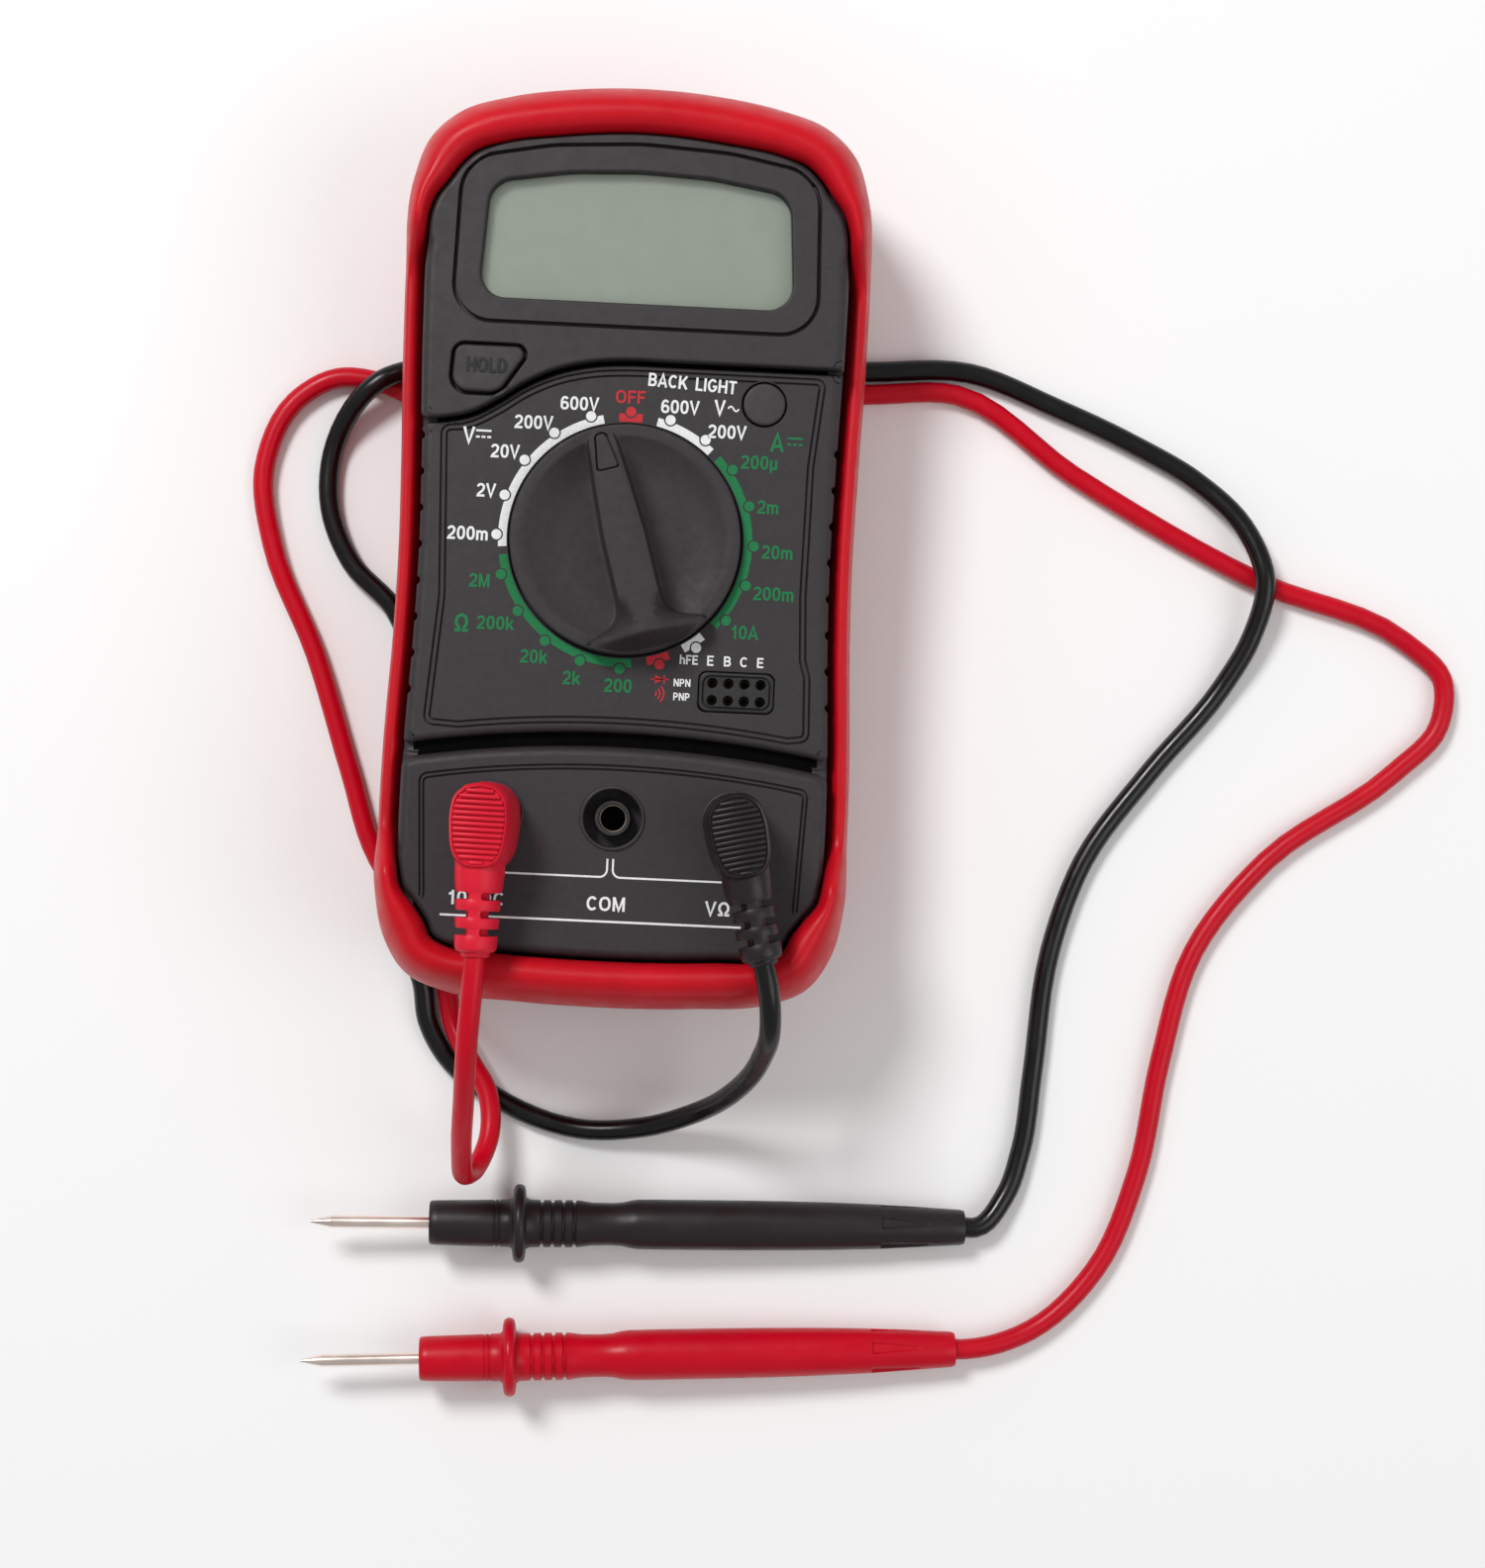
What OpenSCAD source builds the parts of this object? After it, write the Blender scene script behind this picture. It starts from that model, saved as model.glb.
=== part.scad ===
// Hand-held digital multimeter with a rubber holster, two test leads and two probes.
// Millimetres. The meter lies on its back: X right, Y towards the display, Z up out of the face.
// The origin is under the middle of the meter, on the surface that it lies on.

/* [Holster] */
// Overall length of the holster
meter_len = 147.6; // [142:0.2:154]
// Overall width of the holster at its widest
meter_wid = 75.7; // [74:0.1:80]
// Height of the moulded pads on the back
pad_h = 4.6; // [4.4:0.1:5]
// Thickness of the holster's floor
floor_t = 2.4; // [2:0.1:2.6]
// Top of the lip that holds the case at both ends
lip_top = 38.5; // [37:0.5:40]

/* [Case] */
// Height of the dial panel, the main face
face_z = 34; // [34:0.5:35]
// Wall thickness of both case shells
wall = 2; // [1.6:0.1:2.2]
// Height of the display housing above the dial panel
housing_up = 2; // [1.5:0.5:2.5]
// Height of the jack panel above the dial panel
jack_panel_up = 1; // [0.5:0.5:1.5]

/* [Controls] */
// Radius of the selector knob's disc
knob_r = 18.2; // [17:0.1:18.4]
// Top of the knob's ridge
knob_top = 43.5; // [42:0.5:46]
// Number of selector positions
positions = 20; // [20]
// Turn of the pointer at rest, in degrees anticlockwise from the top
rest_turn = 16; // [0:1:359]
// Travel of the hold button
hold_travel = 1.2; // [0.8:0.1:1.2]
// Travel of the back light button
light_travel = 0.8; // [0.6:0.1:0.8]

/* [Jacks and plugs] */
// Distance between neighbouring jacks
jack_pitch = 19.05; // [19.05]
// Bore of a jack sleeve, for a 4 mm plug
jack_bore = 4; // [4]
// Height of the plugs' lead above the table
plug_z = 43.5; // [43:0.5:44]
// Turn of the red plug about its jack, in degrees
red_turn = -2.5; // [-5:0.5:5]
// Turn of the black plug about its jack, in degrees
black_turn = 14.5; // [10:0.5:18]

/* [Leads and probes] */
// Outer diameter of the test leads
cord_d = 3.4; // [3:0.1:3.4]
// Diameter of a probe's needle
needle_d = 2.1; // [2:0.1:2.2]
// Length of needle outside the handle
needle_out = 19.6; // [15:0.1:22]
// Length of a probe's handle
handle_len = 89.5; // [89.5]
// Diameter of the finger guard
guard_d = 13; // [12.6:0.1:13]

/* [Kickstand] */
// Width of the stand's plate
stand_w = 36; // [30:1:36]
// Length of the stand from its hinge to its free end
stand_len = 57; // [50:1:60]

/* [Hidden] */
$fn = 48;

gap = 0.1;           // fit between parts that touch all round
case_inset = 4.1;    // from the holster's outline to the case
lip_gap = 0.4;       // between the case's face and the holster's lip
under_lip = 33;      // top of the case's shoulder under the lip
seam_z = 18;         // where the two case shells meet
housing_z = face_z + housing_up;
jack_panel_z = face_z + jack_panel_up;
floor_z = pad_h + floor_t;      // inside floor of the holster
inner_z = floor_z + gap + 1.5;  // inside floor of the back case
pcb_z = 26.6;        // underside of the circuit board
pcb_t = 1.6;
pcb_top = pcb_z + pcb_t;
jack_y = -44;

// Right half of the outline from the top to the bottom, for a meter 147.6 by 75.7
HALF = [
  [0, 73.1], [12, 72.4], [22, 70.7], [30, 67.8], [34.4, 63.4], [36.6, 57], [37.5, 46], [37.5, 32],
  [36.95, 12], [36.7, -2], [36.95, -16], [37.65, -32], [37.85, -46], [37.6, -57], [36.1, -64.3],
  [32.1, -70.3], [25.6, -73], [14, -74.1], [0, -74.5]
];
// The opening in the holster's lip, right half
LIP_HALF = [
  [0, 64.4], [13, 63.4], [22, 61.9], [26.2, 60.4], [28.4, 58.4], [30.4, 55.6], [32.4, 52.8],
  [33.3, 50], [33.3, 44], [33, 30], [32.4, 0], [32.8, -26], [33.5, -44], [33.6, -53], [32.9, -56.2],
  [30.8, -58.9], [28.9, -61.6], [27.7, -64], [25, -65.4], [17, -66.1], [8, -66.5], [0, -66.6]
];

function mirrored(p) = concat(p, [for (i = [len(p) - 2:-1:1]) [-p[i][0], p[i][1]]]);
function fitted(p) = [for (q = p) [q[0] * meter_wid / 75.7, q[1] * meter_len / 147.6]];

// A smooth curve through points, by Hermite pieces with chord-length tangents
function unit(v) = v / norm(v);
function tangent(a, b, c) =
  let (u = norm(b - a), w = norm(c - b)) (w / u * (b - a) + u / w * (c - b)) / (u + w);
function piece(p, q, m, n, t) =
  let (d = norm(q - p), s = t * t, c = s * t)
  (2 * c - 3 * s + 1) * p + (c - 2 * s + t) * d * m + (3 * s - 2 * c) * q + (c - s) * d * n;
function closed(p, steps) = let (n = len(p)) [
  for (i = [0:n - 1], k = [0:steps - 1])
    let (a = p[(i + n - 1) % n], b = p[i], c = p[(i + 1) % n], d = p[(i + 2) % n])
      piece(b, c, tangent(a, b, c), tangent(b, c, d), k / steps)
];
function slope(p, i) =
  i == 0 ? unit(p[1] - p[0])
  : i == len(p) - 1 ? unit(p[i] - p[i - 1])
  : tangent(p[i - 1], p[i], p[i + 1]);
function above(q, low) = [q[0], q[1], max(q[2], low)];
function route(p, steps, low) = [
  for (i = [0:len(p) - 2], k = [0:steps - 1])
    above(piece(p[i], p[i + 1], slope(p, i), slope(p, i + 1), k / steps), low),
  p[len(p) - 1]
];

// A tube swept along a path, with rings that turn as little as they can
module swept(path, r, sides) {
  n = len(path);
  along = [
    for (i = [0:n - 1])
      unit(path[min(i + 1, n - 1)] - path[max(i - 1, 0)])
  ];
  first = cross(along[0], abs(along[0][2]) > 0.9 ? [1, 0, 0] : [0, 0, 1]);
  side = [
    for (i = 0, s = unit(first); i < n;
      i = i + 1, s = i < n ? unit(s - (s * along[i]) * along[i]) : s) s
  ];
  rings = [
    for (i = [0:n - 1], k = [0:sides - 1])
      let (a = (k + 0.5) * 360 / sides)
        path[i] + r * (cos(a) * side[i] + sin(a) * cross(along[i], side[i]))
  ];
  skin = [
    for (i = [0:n - 2], k = [0:sides - 1], half = [0, 1])
      let (a = i * sides + k, b = i * sides + (k + 1) % sides)
        half == 0 ? [a, a + sides, b] : [b, a + sides, b + sides]
  ];
  ends = [[for (k = [0:sides - 1]) k], [for (k = [sides - 1:-1:0]) (n - 1) * sides + k]];
  polyhedron(rings, concat(skin, ends));
}

// Plan outlines
module plan(inset) offset(delta = -inset) polygon(fitted(closed(mirrored(HALF), 3)));
module lip_plan(inset) offset(delta = -inset) polygon(fitted(closed(mirrored(LIP_HALF), 3)));
module slab(inset, low, high) translate([0, 0, low]) linear_extrude(high - low) plan(inset);
module block(x, y, z) translate([x[0], y[0], z[0]]) cube([x[1] - x[0], y[1] - y[0], z[1] - z[0]]);
module rod(x, y, z, r) translate([x, y, z[0]]) cylinder(r = r, h = z[1] - z[0]);

// ---- Holster and kickstand ----
holster_inset = [8, 2.6, 0, 1, 3.2];
holster_steps = [pad_h, floor_z + 0.2, 11, 30, under_lip + 1.5, lip_top];
pad_at = [20, 60];
pad_r = 5;
wall_top = 31;       // top of the holster's low side walls
hinge_y = 15;
hinge_z = 2.9;
pin_r = 1.2;
lug = [stand_w / 2 + 0.6, stand_w / 2 + 4.4];

module pads() {
  for (x = [-1, 1], y = [-1, 1])
    rod(x * pad_at[0], y * pad_at[1], [0, pad_h + 1], pad_r);
}
module stand_lugs() {
  for (x = [-lug[1], lug[0]])
    block([x, x + lug[1] - lug[0]], [hinge_y - 3, hinge_y + 3], [1.2, pad_h + 1]);
}
module side_dip() {
  dip = [[-54, 40], [-47, wall_top], [42, wall_top], [49, 40]];
  for (x = [-45, 31])
    translate([x, 0, 0]) rotate([90, 0, 90]) linear_extrude(14) polygon(dip);
}
module holster() {
  color("firebrick") difference() {
    union() {
      for (i = [0:4]) slab(holster_inset[i], holster_steps[i], holster_steps[i + 1]);
      pads();
      stand_lugs();
    }
    slab(case_inset - gap, floor_z, under_lip);
    translate([0, 0, under_lip - 1]) linear_extrude(10) lip_plan(0);
    side_dip();
    translate([-lug[1] - 1, hinge_y, hinge_z]) rotate([0, 90, 0])
      cylinder(r = pin_r + 0.08, h = 2 * lug[1] + 2);
  }
}

module kickstand() {
  free_y = hinge_y - stand_len;
  color("dimgray") difference() {
    union() {
      block([-stand_w / 2, stand_w / 2], [free_y, hinge_y], [1.8, 4.2]);
      translate([-stand_w / 2, hinge_y, hinge_z]) rotate([0, 90, 0]) cylinder(r = 1.5, h = stand_w);
      translate([-lug[1] + 0.4, hinge_y, hinge_z]) rotate([0, 90, 0])
        cylinder(r = pin_r, h = 2 * lug[1] - 0.8);
    }
    // finger recess and shallow panel on the outer face
    block([-9, 9], [free_y - 1, free_y + 7], [1, 2.6]);
    block([-stand_w / 2 + 4, stand_w / 2 - 4], [free_y + 12, hinge_y - 8], [1, 2.3]);
  }
}

// ---- Case shells ----
window_pts = [[-23.7, 55.4], [-11, 57.6], [0, 58.1], [11, 57.6], [23.7, 55.4], [24.9, 37.2], [-24.9, 37.2]];
bezel_pts = [[-27.8, 59.2], [-14, 61.9], [0, 62.7], [14, 61.9], [27.8, 59.2], [29.3, 33], [-29.3, 33]];
// Lower edge of the display housing, which arches over the dial
housing_edge = [
  [-40, 17.8], [-33.2, 17.8], [-29.5, 18.1], [-27.2, 18.5], [-25, 19.2], [-23, 20.2], [-21, 21.4],
  [-19, 22.8], [-17, 24.1], [-15, 25.2], [-12.5, 26.3], [-10, 27.1], [-6.3, 27.9], [-2, 28.3], [2, 28.4],
  [40, 28.4]
];
case_screw_at = [[-20, 62], [20, 62], [-26, -60], [26, -60]];
pcb_screw_at = [[-27, 10], [27, 8], [-26, -28], [26, -32]];
hold_at = [-23, 26.2];
light_at = [21, 22.5];
light_r = 3.3;
socket_at = [18.6, -23.3];
socket_size = [11.6, 5.6];
well_r = 4.4;
ring_r = 20.3;        // inner radius of the detent ring

module rounded(r) offset(r = r) offset(delta = -r) children();
module window_plan(grow) offset(delta = grow) rounded(4) polygon(window_pts);
module bezel_plan(grow) offset(delta = grow) rounded(6.5) polygon(bezel_pts);
module hold_plan(grow) offset(delta = grow) hull() {
  translate([-26.6, 27.9]) circle(1.6);
  translate([-18.6, 28.2]) circle(1.3);
  translate([-25.6, 24.6]) circle(2.6);
  translate([-22.4, 25.2]) circle(3);
}
module housing_plan() polygon(concat(housing_edge, [[40, 80], [-40, 80]]));
module face_block(low, high) {
  translate([0, 0, low]) linear_extrude(high - low) intersection() {
    lip_plan(lip_gap);
    children();
  }
}
module everywhere() square([100, 200], center = true);

module detent_ring() difference() {
  rod(0, 0, [pcb_top + 0.3, face_z - 1], 22.6);
  rod(0, 0, [pcb_top, face_z], ring_r);
  for (i = [0:positions - 1])
    rotate(i * 360 / positions) rod(0, ring_r - 0.4, [pcb_top, face_z - wall], 1.2);
}
module front_solids() {
  difference() {
    union() {
      slab(case_inset, seam_z, under_lip);
      face_block(under_lip - 0.5, face_z) everywhere();
      face_block(face_z - 0.5, housing_z) housing_plan();
      face_block(face_z - 0.5, jack_panel_z) translate([-40, -80]) square([80, 46.5]);
    }
    slab(case_inset + wall, seam_z - 1, face_z - wall);
    // The display housing is hollow up to its own roof
    translate([0, 0, face_z - wall - 1]) linear_extrude(housing_up + 1) offset(delta = -wall)
      intersection() {
        lip_plan(lip_gap);
        housing_plan();
      }
  }
  for (p = pcb_screw_at) rod(p[0], p[1], [pcb_top + 0.05, face_z - 1], 2.8);
  for (p = case_screw_at) rod(p[0], p[1], [seam_z + 0.05, face_z - 1], 3.2);
  for (k = [-1:1]) rod(k * jack_pitch, jack_y, [pcb_top + 1.2, jack_panel_z - 1], 6);
  for (k = [-1:1]) rod(k * jack_pitch, jack_y, [jack_panel_z - 1, jack_panel_z + 0.4], 4.95);
  detent_ring();
}
module front_case() {
  color([0.13, 0.13, 0.14]) difference() {
    front_solids();
    // display window with its ledge, and the groove round it
    translate([0, 0, face_z - 0.4]) linear_extrude(10) window_plan(0);
    translate([0, 0, face_z - 3]) linear_extrude(10) window_plan(-1.2);
    translate([0, 0, housing_z - 0.6]) linear_extrude(1) difference() {
      bezel_plan(0);
      bezel_plan(-0.8);
    }
    // controls
    rod(0, 0, [face_z - wall - 0.2, face_z + 1], knob_r + 0.3);
    translate([0, 0, face_z - 3]) linear_extrude(10) hold_plan(0.2);
    rod(light_at[0], light_at[1], [face_z - 3, face_z + 1], light_r + 0.2);
    block(
      [socket_at[0] - socket_size[0] / 2 - gap, socket_at[0] + socket_size[0] / 2 + gap],
      [socket_at[1] - socket_size[1] / 2 - gap, socket_at[1] + socket_size[1] / 2 + gap],
      [face_z - 3, face_z + 1]
    );
    // jack wells
    for (k = [-1:1]) rod(k * jack_pitch, jack_y, [pcb_top, jack_panel_z + 1], well_r);
    // arched groove between the dial panel and the jack panel
    difference() {
      rod(0, -214.5, [face_z - 1.2, jack_panel_z + 1], 184, $fn = 180);
      rod(0, -214.5, [face_z - 2, jack_panel_z + 2], 181.8, $fn = 180);
    }
    // pilot holes
    for (p = pcb_screw_at) rod(p[0], p[1], [pcb_top - 1, face_z - 2], 0.95);
    for (p = case_screw_at) rod(p[0], p[1], [seam_z - 1, face_z - 3], 1.15);
  }
}

boss_r = 3.2;
module back_case() {
  low = floor_z + gap;
  color([0.15, 0.15, 0.16]) difference() {
    union() {
      difference() {
        slab(case_inset, low, seam_z);
        slab(case_inset + wall, inner_z, seam_z + 1);
      }
      for (p = case_screw_at) rod(p[0], p[1], [low + 0.5, seam_z], boss_r + 0.8);
      // cradle walls of the battery bay
      for (x = [-14.6, 13.4]) block([x, x + 1.2], [16, 56], [inner_z - 0.3, seam_z - 2]);
    }
    for (p = case_screw_at) {
      rod(p[0], p[1], [low - 1, seam_z + 1], 1.7);
      rod(p[0], p[1], [low - 1, low + 3], 3.1);
    }
  }
}
module case_screws() {
  head = floor_z + gap + 0.7;
  color("silver") for (p = case_screw_at) difference() {
    union() {
      rod(p[0], p[1], [head, head + 2.3], 2.8);
      rod(p[0], p[1], [head + 2, face_z - 5], 1.1);
    }
    for (a = [0, 90]) translate([p[0], p[1], head]) rotate(a) cube([3, 0.6, 2.4], center = true);
  }
}
module pcb_screws() {
  color("silver") for (p = pcb_screw_at) difference() {
    union() {
      rod(p[0], p[1], [pcb_z - 1.4, pcb_z], 2.2);
      rod(p[0], p[1], [pcb_z - 0.2, face_z - 2.4], 0.9);
    }
    for (a = [0, 90])
      translate([p[0], p[1], pcb_z - 1.4]) rotate(a) cube([2.4, 0.5, 1.4], center = true);
  }
}

// ---- Display ----
glass_x = 25;
glass_y = [35.2, 57.2];
module window_lens() {
  color([0.75, 0.8, 0.78, 0.35]) translate([0, 0, face_z - 0.4]) linear_extrude(1.2) window_plan(-gap);
}
module lcd_glass() {
  color([0.58, 0.63, 0.59]) block([-glass_x, glass_x], glass_y, [31.2, 33.2]);
}
module lcd_frame() {
  color("whitesmoke") difference() {
    intersection() {
      block([-glass_x - 1.6, glass_x + 1.6], [glass_y[0] - 1.6, glass_y[1] + 1.4], [pcb_top + 0.05, 33.4]);
      // its top corners follow the inside of the housing
      translate([0, 0, pcb_top]) linear_extrude(10) lip_plan(lip_gap + wall + 0.3);
    }
    block([-glass_x - gap, glass_x + gap], [glass_y[0] - gap, glass_y[1] + gap], [pcb_top, 34]);
  }
}
module zebra_strip() {
  color("gray") block([-24, 24], [glass_y[0] + 0.4, glass_y[0] + 2.6], [pcb_top, 31.2]);
}
module light_guide() {
  color([0.9, 0.95, 0.95, 0.6]) block([-23.5, 23.5], [38, 56.6], [pcb_top + 0.1, 31.1]);
}
module backlight_led() {
  color("lightyellow") block([23.7, 24.8], [45.5, 49.5], [pcb_top, 30.2]);
}

// ---- Circuit board and what is on it ----
module pcb() {
  color("darkgreen") difference() {
    block([-29.2, 29.2], [-56.4, 58.4], [pcb_z, pcb_top]);
    for (k = [-1:1]) rod(k * jack_pitch, jack_y, [pcb_z - 1, pcb_top + 1], 2.85);
    for (p = pcb_screw_at) rod(p[0], p[1], [pcb_z - 1, pcb_top + 1], 1.2);
    for (x = [-1, 1]) translate([x * 29.2, -56.4, pcb_z - 1]) rotate(45) cube([9, 9, 5], center = true);
  }
}
module chip_blob() {
  color([0.05, 0.05, 0.05]) intersection() {
    translate([-16, -9, pcb_z + 17]) sphere(r = 18.6, $fn = 64);
    rod(-16, -9, [pcb_z - 3, pcb_z], 9);
  }
}
module trimmer() {
  color("royalblue") difference() {
    block([3, 9.5], [-36, -29.5], [pcb_z - 4.2, pcb_z]);
    rod(6.25, -32.75, [pcb_z - 5, pcb_z - 3.4], 2);
  }
}
resistor_at = [
  for (i = [0:4]) [0, 3 - 5 * i], for (i = [0:2]) [-18, -22 - 5 * i], for (i = [0:2]) [18, -14 - 5 * i]
];
module resistors() {
  z = pcb_z - 1.7;
  color("tan") for (p = resistor_at) {
    translate([p[0] - 3.2, p[1], z]) rotate([0, 90, 0]) cylinder(r = 1.15, h = 6.4);
    translate([p[0] - 5, p[1], z]) rotate([0, 90, 0]) cylinder(r = 0.3, h = 10);
    for (x = [-4.9, 4.9]) rod(p[0] + x, p[1], [z, pcb_z], 0.3);
  }
}
module capacitors() {
  color("midnightblue") for (p = [[25, -40], [-25.5, -38]]) rod(p[0], p[1], [pcb_z - 7, pcb_z], 2.5);
  color("goldenrod") for (p = [[9, -10], [9, -20]])
    block([p[0] - 2, p[0] + 2], [p[1] - 1, p[1] + 1], [pcb_z - 4, pcb_z]);
}
fuse_y = -53;
fuse_z = 22;
module fuse() {
  translate([-10, fuse_y, fuse_z]) rotate([0, 90, 0]) {
    color("lightcyan") difference() {
      cylinder(r = 2.3, h = 20);
      translate([0, 0, 5]) cylinder(r = 1.7, h = 10);
    }
    color("silver") for (z = [0, 15]) translate([0, 0, z]) difference() {
      cylinder(r = 2.6, h = 5);
      translate([0, 0, -1]) cylinder(r = 2.3, h = 7);
    }
  }
}
module fuse_clips() {
  color("gold") for (x = [-9, 6]) difference() {
    block([x, x + 3], [fuse_y - 3.4, fuse_y + 3.4], [fuse_z - 1.6, pcb_z]);
    translate([x - 1, fuse_y, fuse_z]) rotate([0, 90, 0]) cylinder(r = 2.65, h = 5);
    block([x - 1, x + 4], [fuse_y - 1.9, fuse_y + 1.9], [fuse_z - 3, fuse_z]);
    block([x - 1, x + 4], [fuse_y - 2.65, fuse_y + 2.65], [fuse_z, pcb_z - 0.5]);
  }
}
module shunt() {
  color("peru") {
    for (x = [-14, -5]) rod(x, -37, [19, pcb_z], 0.8);
    for (x = [-14, -5]) translate([x, -37, 19]) sphere(0.8);
    translate([-14, -37, 19]) rotate([0, 90, 0]) cylinder(r = 0.8, h = 9);
  }
}
module buzzer() {
  color([0.1, 0.1, 0.1]) difference() {
    rod(19, 0, [pcb_z - 4.4, pcb_z], 8.5);
    rod(19, 0, [pcb_z - 5, pcb_z - 3.2], 1);
  }
}
sleeve_top = 30.2;
sleeve_low = 15;
module jack_sleeve(k) color("gold") difference() {
  union() {
    rod(k * jack_pitch, jack_y, [sleeve_low, sleeve_top], 2.8);
    rod(k * jack_pitch, jack_y, [pcb_top, pcb_top + 0.8], 3.9);
  }
  rod(k * jack_pitch, jack_y, [sleeve_low - 1, sleeve_top + 1], jack_bore / 2);
}
module com_jack() jack_sleeve(0);
module outer_jacks() for (k = [-1, 1]) jack_sleeve(k);
socket_holes = [for (i = [0:3], j = [-1, 1]) socket_at + [(i - 1.5) * 2.54, j * 1.35]];
module transistor_socket() {
  color([0.08, 0.08, 0.08]) difference() {
    block(
      [socket_at[0] - socket_size[0] / 2, socket_at[0] + socket_size[0] / 2],
      [socket_at[1] - socket_size[1] / 2, socket_at[1] + socket_size[1] / 2],
      [pcb_top, face_z + 0.6]
    );
    for (p = socket_holes) rod(p[0], p[1], [pcb_top - 1, face_z + 1], 0.85);
  }
}
module transistor_contacts() {
  color("gold") for (p = socket_holes) difference() {
    rod(p[0], p[1], [pcb_top, 31.5], 0.8);
    rod(p[0], p[1], [pcb_top + 0.6, 32], 0.45);
  }
}
hold_switch_top = 31;
light_switch_top = 30.3;
module switch_bodies() {
  color([0.1, 0.1, 0.1]) for (s = [[hold_at, hold_switch_top], [light_at, light_switch_top]])
    difference() {
      translate([s[0][0] - 3, s[0][1] - 3, pcb_top]) cube([6, 6, s[1] - pcb_top]);
      rod(s[0][0], s[0][1], [pcb_top - 1, 35], 1.6);
    }
}

// ---- Buttons ----
hold_bottom = housing_z - wall - 1.2;
light_bottom = face_z - wall - 0.8;
module hold_button() {
  color([0.12, 0.12, 0.13]) {
    translate([0, 0, hold_bottom]) linear_extrude(1) intersection() {
      hold_plan(1);
      offset(delta = -wall - 0.3) intersection() {
        lip_plan(lip_gap);
        housing_plan();
      }
    }
    translate([0, 0, hold_bottom + 0.5]) linear_extrude(housing_z + 0.9 - hold_bottom - 0.5)
      hold_plan(-0.1);
  }
}
module hold_plunger() {
  color("dimgray") rod(hold_at[0], hold_at[1], [pcb_top + hold_travel + 0.1, hold_bottom], 1.5);
}
module light_button() {
  color([0.1, 0.1, 0.11]) {
    rod(light_at[0], light_at[1], [light_bottom, light_bottom + 0.6], light_r + 0.9);
    rod(light_at[0], light_at[1], [light_bottom + 0.5, face_z + 1.1], light_r);
  }
}
module light_plunger() {
  color("dimgray") rod(light_at[0], light_at[1], [pcb_top + light_travel + 0.1, light_bottom], 1.5);
}

// ---- Selector ----
rotor_z = [29, face_z - wall - 0.2];
ball_r = 0.95;
ball_at = ring_r - ball_r - 0.06;  // clear of the ridges between the dimples
module selector_knob() {
  color([0.14, 0.14, 0.15]) rotate(rest_turn) difference() {
    union() {
      rod(0, 0, [rotor_z[1] + 0.02, face_z + 2.2], knob_r, $fn = 96);
      rod(0, 0, [rotor_z[0], rotor_z[1] + 1], 5.95);
      translate([0, 0, face_z + 1]) linear_extrude(knob_top - face_z - 1) hull() {
        translate([0, 15.8]) circle(2.1);
        translate([0, -14]) circle(3.2);
      }
    }
    // dish either side of the ridge
    difference() {
      rod(0, 0, [face_z + 1.4, face_z + 2.3], knob_r - 2, $fn = 96);
      translate([-4.2, -20, face_z + 1]) cube([8.4, 40, 3]);
    }
    // inset of the pointer
    translate([0, 0, knob_top - 0.4]) linear_extrude(1) hull() {
      translate([0, 15.2]) circle(1.1);
      translate([0, 10.2]) circle(1.6);
    }
  }
}
module contact_rotor() {
  color("ivory") rotate(rest_turn) difference() {
    rod(0, 0, rotor_z, 20, $fn = 96);
    rod(0, 0, [rotor_z[0] - 1, rotor_z[1] + 1], 6);
    for (a = [0, 180]) rotate(a) translate([0, 12.4, (rotor_z[0] + rotor_z[1]) / 2])
      rotate([-90, 0, 0]) cylinder(r = 1, h = 10);
  }
}
module detent_balls() {
  color("silver") rotate(rest_turn) for (y = [-1, 1])
    translate([0, y * ball_at, (rotor_z[0] + rotor_z[1]) / 2]) sphere(ball_r);
}
spring_turns = 6;
spring_len = ball_at - ball_r - 12.6;
function coil(s) = [
  for (i = [0:spring_turns * 8])
    let (a = i * 45)
      [0.72 * cos(a), s * (12.55 + spring_len * i / (spring_turns * 8)), 30.4 + 0.72 * sin(a)]
];
module detent_springs() {
  color("silver") rotate(rest_turn) for (s = [-1, 1]) swept(coil(s), 0.14, 5);
}
module wiper_contacts() {
  color("gold") rotate(rest_turn) for (p = [[8.5, 15], [12, 135], [15.5, 255]]) rotate(p[1]) {
    block([p[0] - 0.8, p[0] + 0.8], [-4, 4], [28.75, rotor_z[0]]);
    for (y = [-3, 3]) translate([p[0] - 0.6, y, 28.6]) rotate([0, 90, 0]) cylinder(r = 0.38, h = 1.2);
  }
}

// ---- Battery ----
battery_y = 12;
stud_x = 6.35;
module battery() {
  z = inner_z + 0.1;
  color([0.25, 0.3, 0.42]) block([-13.2, 13.2], [battery_y, battery_y + 46.4], [z, z + 17.1]);
  color("silver") for (s = [[-stud_x, 3.2], [stud_x, 4]])
    translate([s[0], battery_y - 2.4, z + 8.5]) rotate([-90, 0, 0]) cylinder(r = s[1], h = 2.4);
}
module battery_snap() {
  z = inner_z + 0.1;
  color([0.08, 0.08, 0.08]) difference() {
    block([-12.4, 12.4], [battery_y - 4.4, battery_y - 0.1], [z + 2.5, z + 14.5]);
    for (s = [[-stud_x, 3.3], [stud_x, 4.1]])
      translate([s[0], battery_y - 2.6, z + 8.5]) rotate([-90, 0, 0]) cylinder(r = s[1], h = 4);
  }
}
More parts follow.
